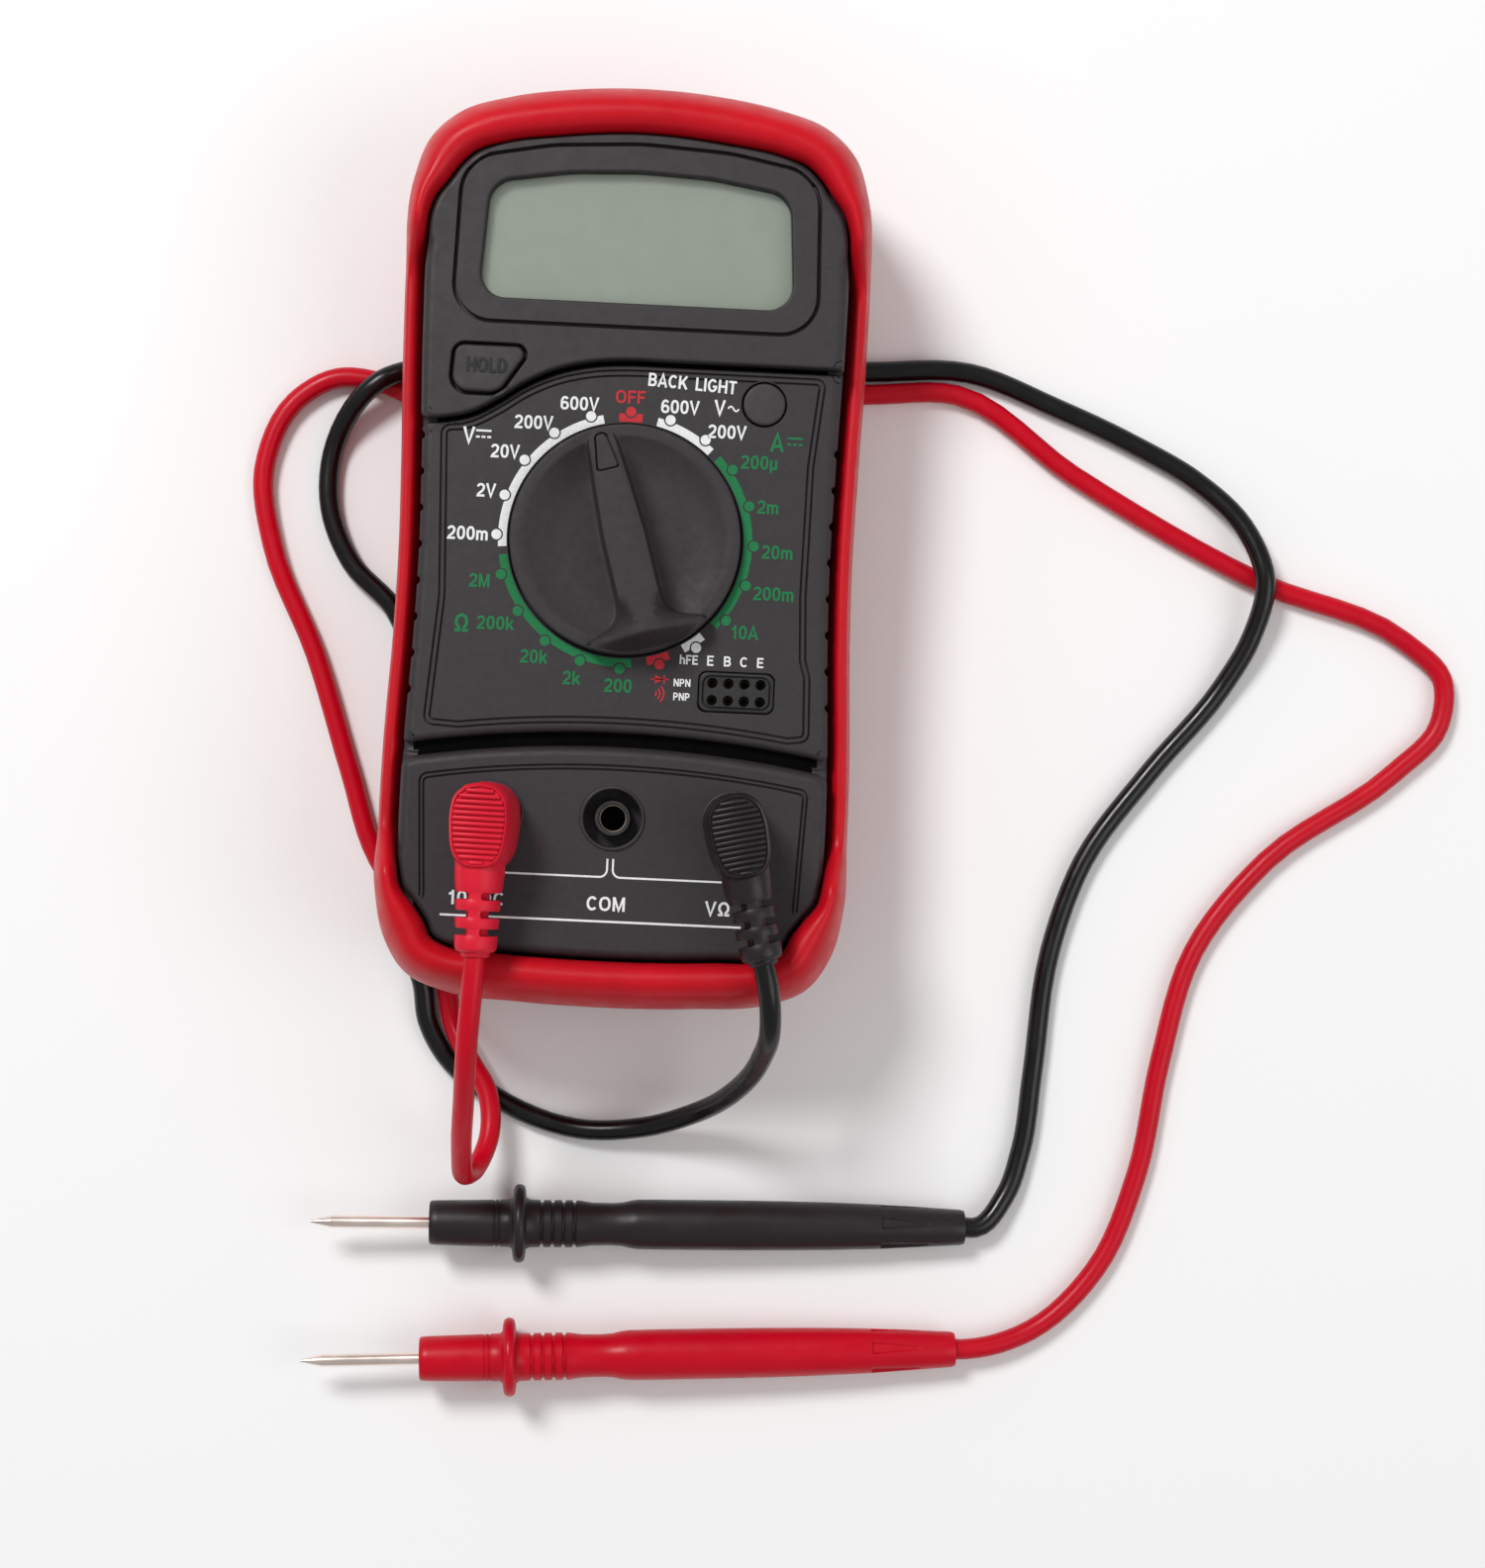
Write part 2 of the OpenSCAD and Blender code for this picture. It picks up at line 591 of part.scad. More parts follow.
module battery_wires() {
  z = inner_z + 12;
  for (s = [-1, 1]) color(s > 0 ? "red" : "black")
    swept(route([
      [s * 10, battery_y - 4.45, z], [s * 10, battery_y - 6, z], [s * 9.6, battery_y - 8.5, z + 1.5],
      [s * 9.2, battery_y - 9, z + 4], [s * 9, battery_y - 9, pcb_z - 0.2]
    ], 3, 0), 0.6, 6);
}

// ---- Plugs ----
plug_len = 21.6;      // from the jack's axis to the end of the strain relief
module plug_frame(side, turn) translate([side * jack_pitch, jack_y, 0]) rotate(turn) children();
module plug_body(side, turn) plug_frame(side, turn) difference() {
  union() {
    rod(0, 0, [sleeve_top + 0.2, jack_panel_z + 1], 4.2);
    // head over the jack
    translate([0, 0, jack_panel_z + 0.5]) linear_extrude(plug_z + 5.2 - jack_panel_z - 0.5) hull() {
      circle(4.6);
      translate([0, -3.6]) circle(4.8);
    }
    // neck and strain relief
    translate([0, -4, plug_z]) rotate([90, 0, 0]) cylinder(r = 3.9, h = 7.5);
    translate([0, -11.4, plug_z]) rotate([90, 0, 0]) cylinder(r = 3.3, h = plug_len - 11.4);
  }
  // ribbed thumb pad
  for (i = [0:11]) translate([-5, 3.6 - i * 0.92, plug_z + 4.9]) cube([10, 0.4, 1]);
  // flex slots of the strain relief
  for (i = [0:2], s = [-1, 1])
    translate([s * 3.2 - 1.3, -13.9 - i * 2.9, plug_z - 4]) cube([2.6, 1, 8]);
}
module plug_pin(side, turn) plug_frame(side, turn) {
  rod(0, 0, [sleeve_low + 2, sleeve_top + 0.2], jack_bore / 2 - 0.05);
  translate([0, 0, sleeve_low + 2]) sphere(jack_bore / 2 - 0.05);
}
module red_plug() color("crimson") plug_body(-1, red_turn);
module black_plug() color([0.1, 0.1, 0.1]) plug_body(1, black_turn);
module red_plug_pin() color("silver") plug_pin(-1, red_turn);
module black_plug_pin() color("silver") plug_pin(1, black_turn);

// ---- Probes ----
// A probe's own X axis runs from its needle to its lead, with x = 0 at the guard
guard_x = 15;         // from the nose of the handle to the middle of the guard
tail_x = handle_len - guard_x;
tilt = 2.43;
guard_z = guard_d / 2;
black_guard = [-13, -112.1];
red_guard = [-13.6, -134.4];
black_aim = 1.6;
red_aim = 3;
module probe_frame(at, aim) translate([at[0], at[1], guard_z]) rotate([0, 0, aim]) rotate([0, tilt, 0])
  rotate([0, 90, 0]) children();
// Radius of the handle at some distances from the guard
grip = [
  [-guard_x, 3.3], [-guard_x + 0.4, 3.6], [-3, 3.9], [-1.1, 3.9], [-1.1, 6], [-0.7, guard_z],
  [0.7, guard_z], [1.1, 6], [1.1, 3.9], [3.4, 3.9], [3.6, 3.5], [4.3, 3.5], [4.5, 3.9], [5.3, 3.9],
  [5.5, 3.5], [6.2, 3.5], [6.4, 3.9], [7.2, 3.9], [7.4, 3.5], [8.1, 3.5], [8.3, 3.9], [9.6, 3.75],
  [16, 3.6], [19, 4.1], [30, 4.15], [48, 4.05], [60, 3.6], [tail_x - 1, 3.05], [tail_x, 2.9]
];
module probe_handle(at, aim) probe_frame(at, aim) difference() {
  rotate_extrude() polygon(concat([[0, -guard_x]], [for (g = grip) [g[1], g[0]]], [[0, tail_x]]));
  translate([-0.65, -0.65, -guard_x - 1]) cube([1.3, 1.3, 13.05]);
}
// The needle has a square tang in the handle
module probe_needle(at, aim) probe_frame(at, aim) {
  translate([0, 0, -guard_x - needle_out + 3.5]) cylinder(r = needle_d / 2, h = needle_out - 3.5);
  translate([-0.6, -0.6, -guard_x - 0.1]) cube([1.2, 1.2, 12.1]);
  translate([0, 0, -guard_x - needle_out]) cylinder(r1 = 0.2, r2 = needle_d / 2, h = 3.5);
}
module black_probe_handle() color([0.1, 0.1, 0.1]) probe_handle(black_guard, black_aim);
module red_probe_handle() color("crimson") probe_handle(red_guard, red_aim);
module black_probe_needle() color("silver") probe_needle(black_guard, black_aim);
module red_probe_needle() color("silver") probe_needle(red_guard, red_aim);

// ---- Test leads ----
function plug_way(turn) = [sin(turn), -cos(turn), 0];
function plug_end(side, turn) = [side * jack_pitch, jack_y, plug_z] + plug_len * plug_way(turn);
function probe_way(aim) = [cos(tilt) * cos(aim), cos(tilt) * sin(aim), -sin(tilt)];
function probe_end(at, aim) = [at[0], at[1], guard_z] + tail_x * probe_way(aim);
// From the plug, under the meter twice, to the probe
RED_ROUTE = [
  [-20.8, -80, 41], [-21.4, -90, 33.5], [-22, -98.6, 24], [-21.8, -103.2, 16.6],
  [-20.2, -102.4, 10.8], [-18.6, -97.6, 7.6], [-19.4, -90.6, 5.6], [-22.8, -85.2, 4.4],
  [-25.8, -79.8, 2.5], [-27.4, -73, 1.9], [-30.4, -65.6, 1.7], [-35.6, -58.4, 1.7],
  [-39.8, -52.6, 1.7], [-45.2, -38, 1.7], [-51.9, -18.6, 1.7], [-60, -0.5, 1.7], [-62, 12, 1.7],
  [-57.4, 23.6, 1.7], [-50.4, 28, 1.7], [-43, 27.6, 1.7], [-35.4, 24.8, 1.7], [-20, 24.6, 1.7],
  [40, 29.6, 1.7], [54, 30.2, 1.7], [74.5, 17.5, 1.7], [107, 0.9, 1.7], [132, -8, 1.7],
  [138.6, -14, 1.7], [138.4, -22, 1.7], [131, -30.4, 1.7], [110, -46.2, 1.7], [98.4, -62, 1.7],
  [93.5, -81, 1.7], [90.4, -100, 1.7], [84, -116.5, 1.7], [73.5, -127, 2.2]
];
BLACK_ROUTE = [
  [26.2, -75.5, 40.8], [25.2, -81, 33], [21.8, -87, 21.5], [15.6, -92, 10.5], [7, -95.4, 4.6],
  [-4, -96.4, 2.2], [-18.4, -91.6, 1.7], [-27, -85, 1.7], [-30.2, -79.4, 1.7], [-31.4, -73, 2],
  [-33.8, -67, 3], [-35.8, -59, 5.4], [-35, -50, 3.2], [-34, -32, 1.7], [-39, -10.5, 1.7],
  [-46.6, -3, 1.7], [-50.6, 6, 1.7], [-50.2, 17, 2], [-42.8, 27.4, 5.4], [-35, 30.4, 3.2],
  [-26, 31.2, 1.9], [39, 33.4, 1.7], [56, 34, 1.7], [71, 28.8, 1.7], [84.7, 23.1, 1.7],
  [95.4, 17.4, 2.2], [103.4, 10, 4], [107.2, 0.9, 5.4], [105.6, -8.5, 3.6], [101, -17.5, 2],
  [89.6, -32.1, 1.7], [79, -47.7, 1.7], [74.1, -63, 1.7], [72, -84, 1.7], [70.6, -97, 1.7],
  [68.2, -104.6, 2.2]
];
touch = 0.02;         // clearance between a lead's ends and what it meets
module lead(points, side, turn, at, aim) {
  from = plug_end(side, turn);
  to = probe_end(at, aim);
  swept(route(concat(
    [from + touch * plug_way(turn), from + 4 * plug_way(turn)],
    points,
    [to + 2 * probe_way(aim), to + touch * probe_way(aim)]
  ), 2, cord_d / 2), cord_d / 2, 8);
}
module red_lead() color("crimson") lead(RED_ROUTE, -1, red_turn, red_guard, red_aim);
module black_lead() color([0.1, 0.1, 0.1]) lead(BLACK_ROUTE, 1, black_turn, black_guard, black_aim);

holster();
kickstand();
front_case();
back_case();
window_lens();
lcd_frame();
lcd_glass();
zebra_strip();
light_guide();
backlight_led();
pcb();
chip_blob();
trimmer();
resistors();
capacitors();
fuse();
fuse_clips();
shunt();
buzzer();
com_jack();
outer_jacks();
transistor_socket();
transistor_contacts();
switch_bodies();
selector_knob();
contact_rotor();
wiper_contacts();
detent_balls();
detent_springs();
hold_button();
hold_plunger();
light_button();
light_plunger();
battery();
battery_snap();
battery_wires();
pcb_screws();
case_screws();
red_plug();
red_plug_pin();
red_lead();
red_probe_handle();
red_probe_needle();
black_plug();
black_plug_pin();
black_lead();
black_probe_handle();
black_probe_needle();
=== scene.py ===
import math

import bmesh
import bpy
import numpy as np
from mathutils import Matrix, Vector
from mathutils.geometry import delaunay_2d_cdt


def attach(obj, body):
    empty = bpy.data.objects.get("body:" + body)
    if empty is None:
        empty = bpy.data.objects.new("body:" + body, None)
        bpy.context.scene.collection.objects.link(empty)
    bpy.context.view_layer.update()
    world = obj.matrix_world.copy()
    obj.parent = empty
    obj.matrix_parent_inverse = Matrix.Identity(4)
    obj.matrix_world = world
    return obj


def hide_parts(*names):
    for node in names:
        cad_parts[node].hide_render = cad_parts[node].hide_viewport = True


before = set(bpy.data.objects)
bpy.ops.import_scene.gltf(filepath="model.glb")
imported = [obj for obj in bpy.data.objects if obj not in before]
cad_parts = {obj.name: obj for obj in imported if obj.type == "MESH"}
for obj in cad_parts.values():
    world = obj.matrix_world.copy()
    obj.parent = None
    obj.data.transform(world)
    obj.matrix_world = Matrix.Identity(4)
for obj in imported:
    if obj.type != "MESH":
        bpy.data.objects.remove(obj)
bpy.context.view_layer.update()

# Shapes are worked out in millimetres and become metres when a piece is made.
MM = 0.001


# ---- camera, light, floor

LENS = 69.3
CAMERA_AT = (0.0110, -0.0438, 0.5109)
CAMERA_TURN = {"Z": 2.616, "Y": -1.147, "X": 0.689}    # degrees from looking straight down
SKY = 0.42
FLOOR_REACH = 2.5
FLOOR_WHITE = 0.88


def added(name, data):
    """A new object of some data, in the scene."""
    made = bpy.data.objects.new(name, data)
    bpy.context.scene.collection.objects.link(made)
    return made


def make_camera():
    data = bpy.data.cameras.new("camera")
    data.lens = LENS
    data.sensor_width = 36
    data.clip_start = 0.02
    data.clip_end = 20
    camera = added("camera", data)
    turn = Matrix.Identity(3)
    for axis, degrees in CAMERA_TURN.items():
        turn @= Matrix.Rotation(math.radians(degrees), 3, axis)
    camera.matrix_world = Matrix.Translation(CAMERA_AT) @ turn.to_4x4()
    bpy.context.scene.camera = camera


def area_light(name, place, size, power):
    """A round light that faces the origin."""
    data = bpy.data.lights.new(name, "AREA")
    data.shape = "DISK"
    data.size = size
    data.energy = power
    light = added(name, data)
    light.location = place
    light.rotation_euler = (-Vector(place)).to_track_quat("-Z", "Y").to_euler()


def make_studio():
    bpy.context.scene.view_settings.view_transform = "Standard"
    world = bpy.data.worlds.new("studio")
    bpy.context.scene.world = world
    world.use_nodes = True
    sky = world.node_tree.nodes["Background"]
    sky.inputs["Color"].default_value = (1, 1, 1, 1)
    sky.inputs["Strength"].default_value = SKY
    area_light("key", (-0.45, 0.55, 0.95), 0.35, 9.6)
    area_light("fill", (0.7, -0.2, 0.8), 0.8, 2.8)

    mesh = bpy.data.meshes.new("floor")
    far = FLOOR_REACH
    mesh.from_pydata([(-far, -far, 0), (far, -far, 0), (far, far, 0), (-far, far, 0)], [], [(0, 1, 2, 3)])
    floor = added("floor", mesh)
    surface = bpy.data.materials.new("floor_paper")
    surface.use_nodes = True
    shader = surface.node_tree.nodes["Principled BSDF"]
    shader.inputs["Base Color"].default_value = (FLOOR_WHITE, FLOOR_WHITE, FLOOR_WHITE, 1)
    shader.inputs["Roughness"].default_value = 0.9
    mesh.materials.append(surface)


make_camera()
make_studio()


# ---- materials

def srgb(r, g, b):
    """A colour given in 0 to 255 steps, as linear values."""
    def linear(c):
        c /= 255
        return c / 12.92 if c <= 0.04045 else ((c + 0.055) / 1.055) ** 2.4
    return (linear(r), linear(g), linear(b), 1)


def shaded(color, share):
    return tuple(c * share for c in color[:3]) + (1,)


class Look:
    """A Principled material whose colour, roughness and relief come from noise in object space."""

    def __init__(self, name, roughness, metallic=0.0, specular=0.5, **sockets):
        self.material = bpy.data.materials.new(name)
        self.material.use_nodes = True
        self.tree = self.material.node_tree
        self.shader = self.tree.nodes["Principled BSDF"]
        self.place = self.add("ShaderNodeTexCoord").outputs["Object"]
        self.height = None
        self.put("Roughness", roughness)
        self.put("Metallic", metallic)
        self.put("Specular IOR Level", specular)
        for socket, value in sockets.items():
            self.put(socket.replace("_", " "), value)

    def add(self, kind):
        return self.tree.nodes.new(kind)

    def link(self, a, b):
        self.tree.links.new(a, b)

    def put(self, socket, value):
        self.shader.inputs[socket].default_value = value

    def noise(self, size_mm, detail=3.0, stretch=None):
        node = self.add("ShaderNodeTexNoise")
        node.inputs["Scale"].default_value = 1 / (size_mm * MM)
        node.inputs["Detail"].default_value = detail
        node.inputs["Roughness"].default_value = 0.55
        if stretch:
            mapping = self.add("ShaderNodeMapping")
            mapping.inputs["Scale"].default_value = stretch
            self.link(self.place, mapping.inputs["Vector"])
            self.link(mapping.outputs["Vector"], node.inputs["Vector"])
        else:
            self.link(self.place, node.inputs["Vector"])
        return node.outputs["Fac"]

    def mottled(self, color, size_mm, spread):
        """Base colour that drifts between a darker and a lighter shade."""
        ramp = self.add("ShaderNodeValToRGB")
        ends = ramp.color_ramp.elements
        ends[0].position, ends[0].color = 0.3, shaded(color, 1 - spread)
        ends[1].position, ends[1].color = 0.72, shaded(color, 1 + spread)
        ends.new(0.5).color = color
        self.link(self.noise(size_mm), ramp.inputs["Fac"])
        self.link(ramp.outputs["Color"], self.shader.inputs["Base Color"])

    def rough(self, size_mm, low, high):
        """Roughness that drifts between two values."""
        node = self.add("ShaderNodeMapRange")
        for socket, value in {"From Min": 0.35, "From Max": 0.65, "To Min": low, "To Max": high}.items():
            node.inputs[socket].default_value = value
        self.link(self.noise(size_mm, 2), node.inputs["Value"])
        self.link(node.outputs["Result"], self.shader.inputs["Roughness"])

    def relief(self, size_mm, depth_mm, strength, stretch=None):
        """A bump of noise on top of the reliefs before it."""
        bump = self.add("ShaderNodeBump")
        bump.inputs["Strength"].default_value = strength
        bump.inputs["Distance"].default_value = depth_mm * MM
        self.link(self.noise(size_mm, 2, stretch), bump.inputs["Height"])
        if self.height:
            self.link(self.height, bump.inputs["Normal"])
        self.height = bump.outputs["Normal"]
        self.link(self.height, self.shader.inputs["Normal"])


def plastic(name, color, gloss, grain=0.22, spread=0.12, shine=0.4):
    """Spark-eroded moulded plastic."""
    look = Look(name, gloss, specular=shine)
    look.mottled(color, 1.1, spread)
    look.rough(2.5, gloss - 0.05, gloss + 0.06)
    look.relief(grain, 0.03, 0.55)
    look.relief(6, 0.05, 0.25)
    return look.material


def rubber(name, color, gloss, shine=0.4):
    """Soft moulded rubber or vinyl with a slight orange peel."""
    look = Look(name, gloss, specular=shine)
    look.mottled(color, 9, 0.06)
    look.rough(4, gloss - 0.05, gloss + 0.07)
    look.relief(0.35, 0.012, 0.5)
    look.relief(5, 0.06, 0.3)
    return look.material


def metal(name, color, gloss, patch=1.5, wear=0.5):
    look = Look(name, gloss, metallic=1.0)
    look.mottled(color, patch, 0.1)
    look.rough(patch, gloss - 0.06, gloss + 0.1)
    look.relief(0.5, 0.01, wear)
    return look.material


def ink(name, color, gloss):
    """Pad-printed ink, a little uneven."""
    look = Look(name, gloss, specular=0.3)
    look.mottled(color, 0.5, 0.1)
    look.rough(0.6, gloss - 0.08, gloss + 0.1)
    look.relief(0.2, 0.01, 0.4)
    return look.material


def laminate(name, color, gloss):
    """Solder mask over glass fibre, with the weave just showing."""
    look = Look(name, gloss)
    look.mottled(color, 3, 0.15)
    for stretch in ((1, 0.2, 1), (0.2, 1, 1)):
        look.relief(0.4, 0.02, 0.5, stretch)
    return look.material


def clear(name, color, gloss, alpha):
    """Clear or frosted plastic, seen through by its alpha."""
    look = Look(name, gloss, Alpha=alpha)
    look.mottled(color, 4, 0.03)
    look.rough(3, gloss, gloss + 0.05)
    look.relief(3, 0.004, 0.3)
    return look.material


def display(name, color, gloss):
    """The even grey-green of a blank liquid crystal display."""
    look = Look(name, gloss, specular=0.4)
    look.mottled(color, 14, 0.02)
    look.rough(4, gloss - 0.04, gloss + 0.06)
    look.relief(0.3, 0.003, 0.4)
    return look.material


# Each look's kind, colour and roughness, and what differs from the kind's usual values
LOOKS = {
    "holster_rubber": (rubber, (190, 9, 27), 0.4, {"shine": 0.22}),
    "case_plastic": (plastic, (43, 38, 41), 0.55, {}),
    # A near-black, dull look for the floors between the face plates: painted shade in those gaps
    "gap_black": (plastic, (4, 4, 4), 0.85, {"shine": 0.06}),
    "knob_plastic": (plastic, (50, 46, 48), 0.6, {"shine": 0.3}),
    "button_rubber": (plastic, (52, 48, 50), 0.6, {"grain": 0.3}),
    "stand_plastic": (plastic, (46, 45, 47), 0.5, {}),
    "lens_clear": (clear, (214, 222, 214), 0.12, {"alpha": 0.1}),
    "lcd_glass": (display, (121, 130, 115), 0.32, {}),
    "frame_white": (plastic, (222, 222, 216), 0.5, {"spread": 0.03}),
    "zebra_rubber": (rubber, (96, 96, 100), 0.6, {}),
    "guide_acrylic": (clear, (226, 236, 232), 0.2, {"alpha": 0.55}),
    "led_white": (clear, (240, 236, 196), 0.3, {"alpha": 0.9}),
    "board_green": (laminate, (18, 84, 44), 0.35, {}),
    "epoxy_black": (rubber, (20, 20, 22), 0.25, {}),
    "component_blue": (plastic, (36, 70, 148), 0.4, {}),
    "component_tan": (plastic, (196, 160, 110), 0.5, {}),
    "sleeve_metal": (metal, (176, 166, 148), 0.3, {}),
    "pin_metal": (metal, (205, 205, 200), 0.22, {}),
    "spring_steel": (metal, (170, 172, 176), 0.28, {}),
    "shunt_alloy": (metal, (190, 130, 92), 0.35, {}),
    # Black of the switch parts, the buzzer, the battery snap and the socket; on the rotor it is painted shade
    "switch_black": (plastic, (34, 33, 35), 0.45, {}),
    "battery_jacket": (rubber, (66, 76, 104), 0.35, {}),
    "red_pvc": (rubber, (190, 2, 30), 0.34, {"shine": 0.2}),
    "red_grip": (rubber, (210, 26, 50), 0.4, {"shine": 0.22}),
    "black_pvc": (rubber, (9, 8, 9), 0.26, {"shine": 0.35}),
    "black_grip": (rubber, (32, 26, 28), 0.38, {"shine": 0.32}),
    "needle_steel": (metal, (250, 234, 224), 0.25, {"patch": 12, "wear": 0.02}),
    # Dark metal for the socket's contacts, so that its holes look black: painted shade
    "contact_dark": (metal, (66, 58, 48), 0.5, {}),
    # Near-black for the raised word on the hold button: painted shade of the letters' relief
    "letter_black": (rubber, (18, 17, 19), 0.4, {}),
    "ink_white": (ink, (226, 226, 228), 0.5, {}),
    "ink_green": (ink, (10, 112, 62), 0.5, {}),
    "ink_red": (ink, (188, 34, 46), 0.5, {}),
}
for look_name, (kind, color, gloss, more) in LOOKS.items():
    LOOKS[look_name] = kind(look_name, srgb(*color), gloss, **more)

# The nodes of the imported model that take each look
NODE_LOOKS = {
    "case_plastic": "back_case",
    "frame_white": "lcd_frame",
    "lcd_glass": "lcd_glass",
    "zebra_rubber": "zebra_strip",
    "guide_acrylic": "light_guide",
    "led_white": "backlight_led",
    "board_green": "pcb",
    "epoxy_black": "chip_blob",
    "component_blue": "trimmer capacitors",
    "component_tan": "resistors",
    "pin_metal": "fuse detent_balls pcb_screws case_screws red_plug_pin black_plug_pin",
    "spring_steel": "fuse_clips wiper_contacts detent_springs",
    "shunt_alloy": "shunt",
    # contact_rotor takes this black as well: painted shade in the gap round the knob, where the rotor shows
    # through
    "switch_black": "buzzer switch_bodies contact_rotor battery_snap",
    # The socket's contacts are darkened as painted shade inside its holes
    "sleeve_metal": "com_jack outer_jacks",
    "contact_dark": "transistor_contacts",
    "stand_plastic": "hold_plunger light_plunger",
    "battery_jacket": "battery",
    "red_pvc": "battery_wires",
    "needle_steel": "red_probe_needle black_probe_needle",
}
for look_name, node_names in NODE_LOOKS.items():
    for node_name in node_names.split():
        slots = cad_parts[node_name].data.materials
        slots.clear()
        slots.append(LOOKS[look_name])


# ---- curves and outlines

def mix(a, b, t):
    return a + (b - a) * t


def steps_between(start, end, count):
    """Evenly spaced values from start to end, in a number of steps."""
    return [mix(start, end, k / count) for k in range(count + 1)]


def full_turn(count):
    """Evenly spaced angles round a circle, in radians."""
    return [2 * math.pi * k / count for k in range(count)]


def tangent(a, b, c):
    """The slope at b of a curve through three points, with nearer points weighing more."""
    u = (b - a).length
    w = (c - b).length
    return (w / u * (b - a) + u / w * (c - b)) / (u + w)


def hermite(p, q, m, n, t):
    """The point at a share t of the curve from p to q with the slopes m and n."""
    d = (q - p).length
    s = t * t
    c = s * t
    return (2 * c - 3 * s + 1) * p + (c - 2 * s + t) * d * m + (3 * s - 2 * c) * q + (c - s) * d * n


def curve(points, steps, is_closed=False):
    """A smooth curve through points, with a number of steps from each point to the next."""
    p = [Vector(q) for q in points]
    n = len(p)
    slopes = [tangent(p[i - 1], p[i], p[(i + 1) % n]) for i in range(n)]
    if not is_closed:
        slopes[0] = (p[1] - p[0]).normalized()
        slopes[-1] = (p[-1] - p[-2]).normalized()
    out = []
    for i in range(n if is_closed else n - 1):
        k = (i + 1) % n
        out += [hermite(p[i], p[k], slopes[i], slopes[k], j / steps) for j in range(steps)]
    return out if is_closed else out + [p[-1]]


def mirrored(half):
    """A closed outline from its right half, which starts and ends on the middle line."""
    return half + [(-x, y) for x, y in half[-2:0:-1]]


def turned(loop, counterclockwise=True):
    """The loop in the asked direction of travel."""
    twice_area = sum(a.x * b.y - b.x * a.y for a, b in zip(loop, loop[1:] + loop[:1]))
    return loop if (twice_area > 0) == counterclockwise else loop[::-1]


def left_normals(loop):
    """Unit normals to the left of a loop's direction of travel, lengthened at its corners."""
    n = len(loop)
    out = []
    for i in range(n):
        a = (loop[i] - loop[i - 1]).normalized()
        b = (loop[(i + 1) % n] - loop[i]).normalized()
        middle = (a + b).normalized()
        reach = max(0.5, middle.dot(a))
        out.append(Vector((-middle.y, middle.x)) / reach)
    return out


def inset(loop, distance):
    """The loop moved to its left by a distance, or by one distance for each point."""
    if not hasattr(distance, "__len__"):
        distance = [distance] * len(loop)
    return [p + n * d for p, n, d in zip(loop, left_normals(loop), distance)]


def resampled(loop, spacing, is_closed=True):
    """Points along a polyline at most a spacing apart, with its own corners kept."""
    out = []
    ends = loop[1:] + loop[:1] if is_closed else loop[1:]
    for a, b in zip(loop, ends):
        count = max(1, math.ceil((b - a).length / spacing))
        out += [a.lerp(b, k / count) for k in range(count)]
    return out if is_closed else out + [loop[-1]]


def rounded(corners, is_closed=True):
    """A polygon from (x, y, radius) corners, with an arc at each corner."""
    out = []
    n = len(corners)
    for i, (x, y, r) in enumerate(corners):
        p = Vector((x, y))
        if r == 0 or (not is_closed and i in (0, n - 1)):
            out.append(p)
            continue
        a = (Vector(corners[i - 1][:2]) - p).normalized()
        b = (Vector(corners[(i + 1) % n][:2]) - p).normalized()
        half = math.acos(max(-1, min(1, a.dot(b)))) / 2
        back = r / math.tan(half)
        centre = p + (a + b).normalized() * (r / math.sin(half))
        start = p + a * back - centre
        end = p + b * back - centre
        sweep = start.angle_signed(end)
        count = max(3, math.ceil(abs(sweep) / math.radians(9)))
        for k in range(count + 1):
            out.append(centre + Matrix.Rotation(-sweep * k / count, 2) @ start)
    return out


def rectangle(x, y, r, top_r=None):
    """A rectangle between two values of x and of y, with a corner radius, or with another at its top."""
    s = r if top_r is None else top_r
    return rounded([(x[0], y[0], r), (x[1], y[0], r), (x[1], y[1], s), (x[0], y[1], s)])


def circle(x, y, r, count):
    return [Vector((x + r * math.cos(a), y + r * math.sin(a))) for a in full_turn(count)]


def smooth(value, low, high):
    """0 below low, 1 above high, and an S-shaped rise between them."""
    t = max(0.0, min(1.0, (value - low) / (high - low)))
    return t * t * (3 - 2 * t)


def between(stops, place):
    """The value at a place, on straight lines between (place, value) stops."""
    if place <= stops[0][0]:
        return stops[0][1]
    for (a, u), (b, w) in zip(stops, stops[1:]):
        if place <= b:
            return mix(u, w, (place - a) / (b - a))
    return stops[-1][1]


# ---- meshes

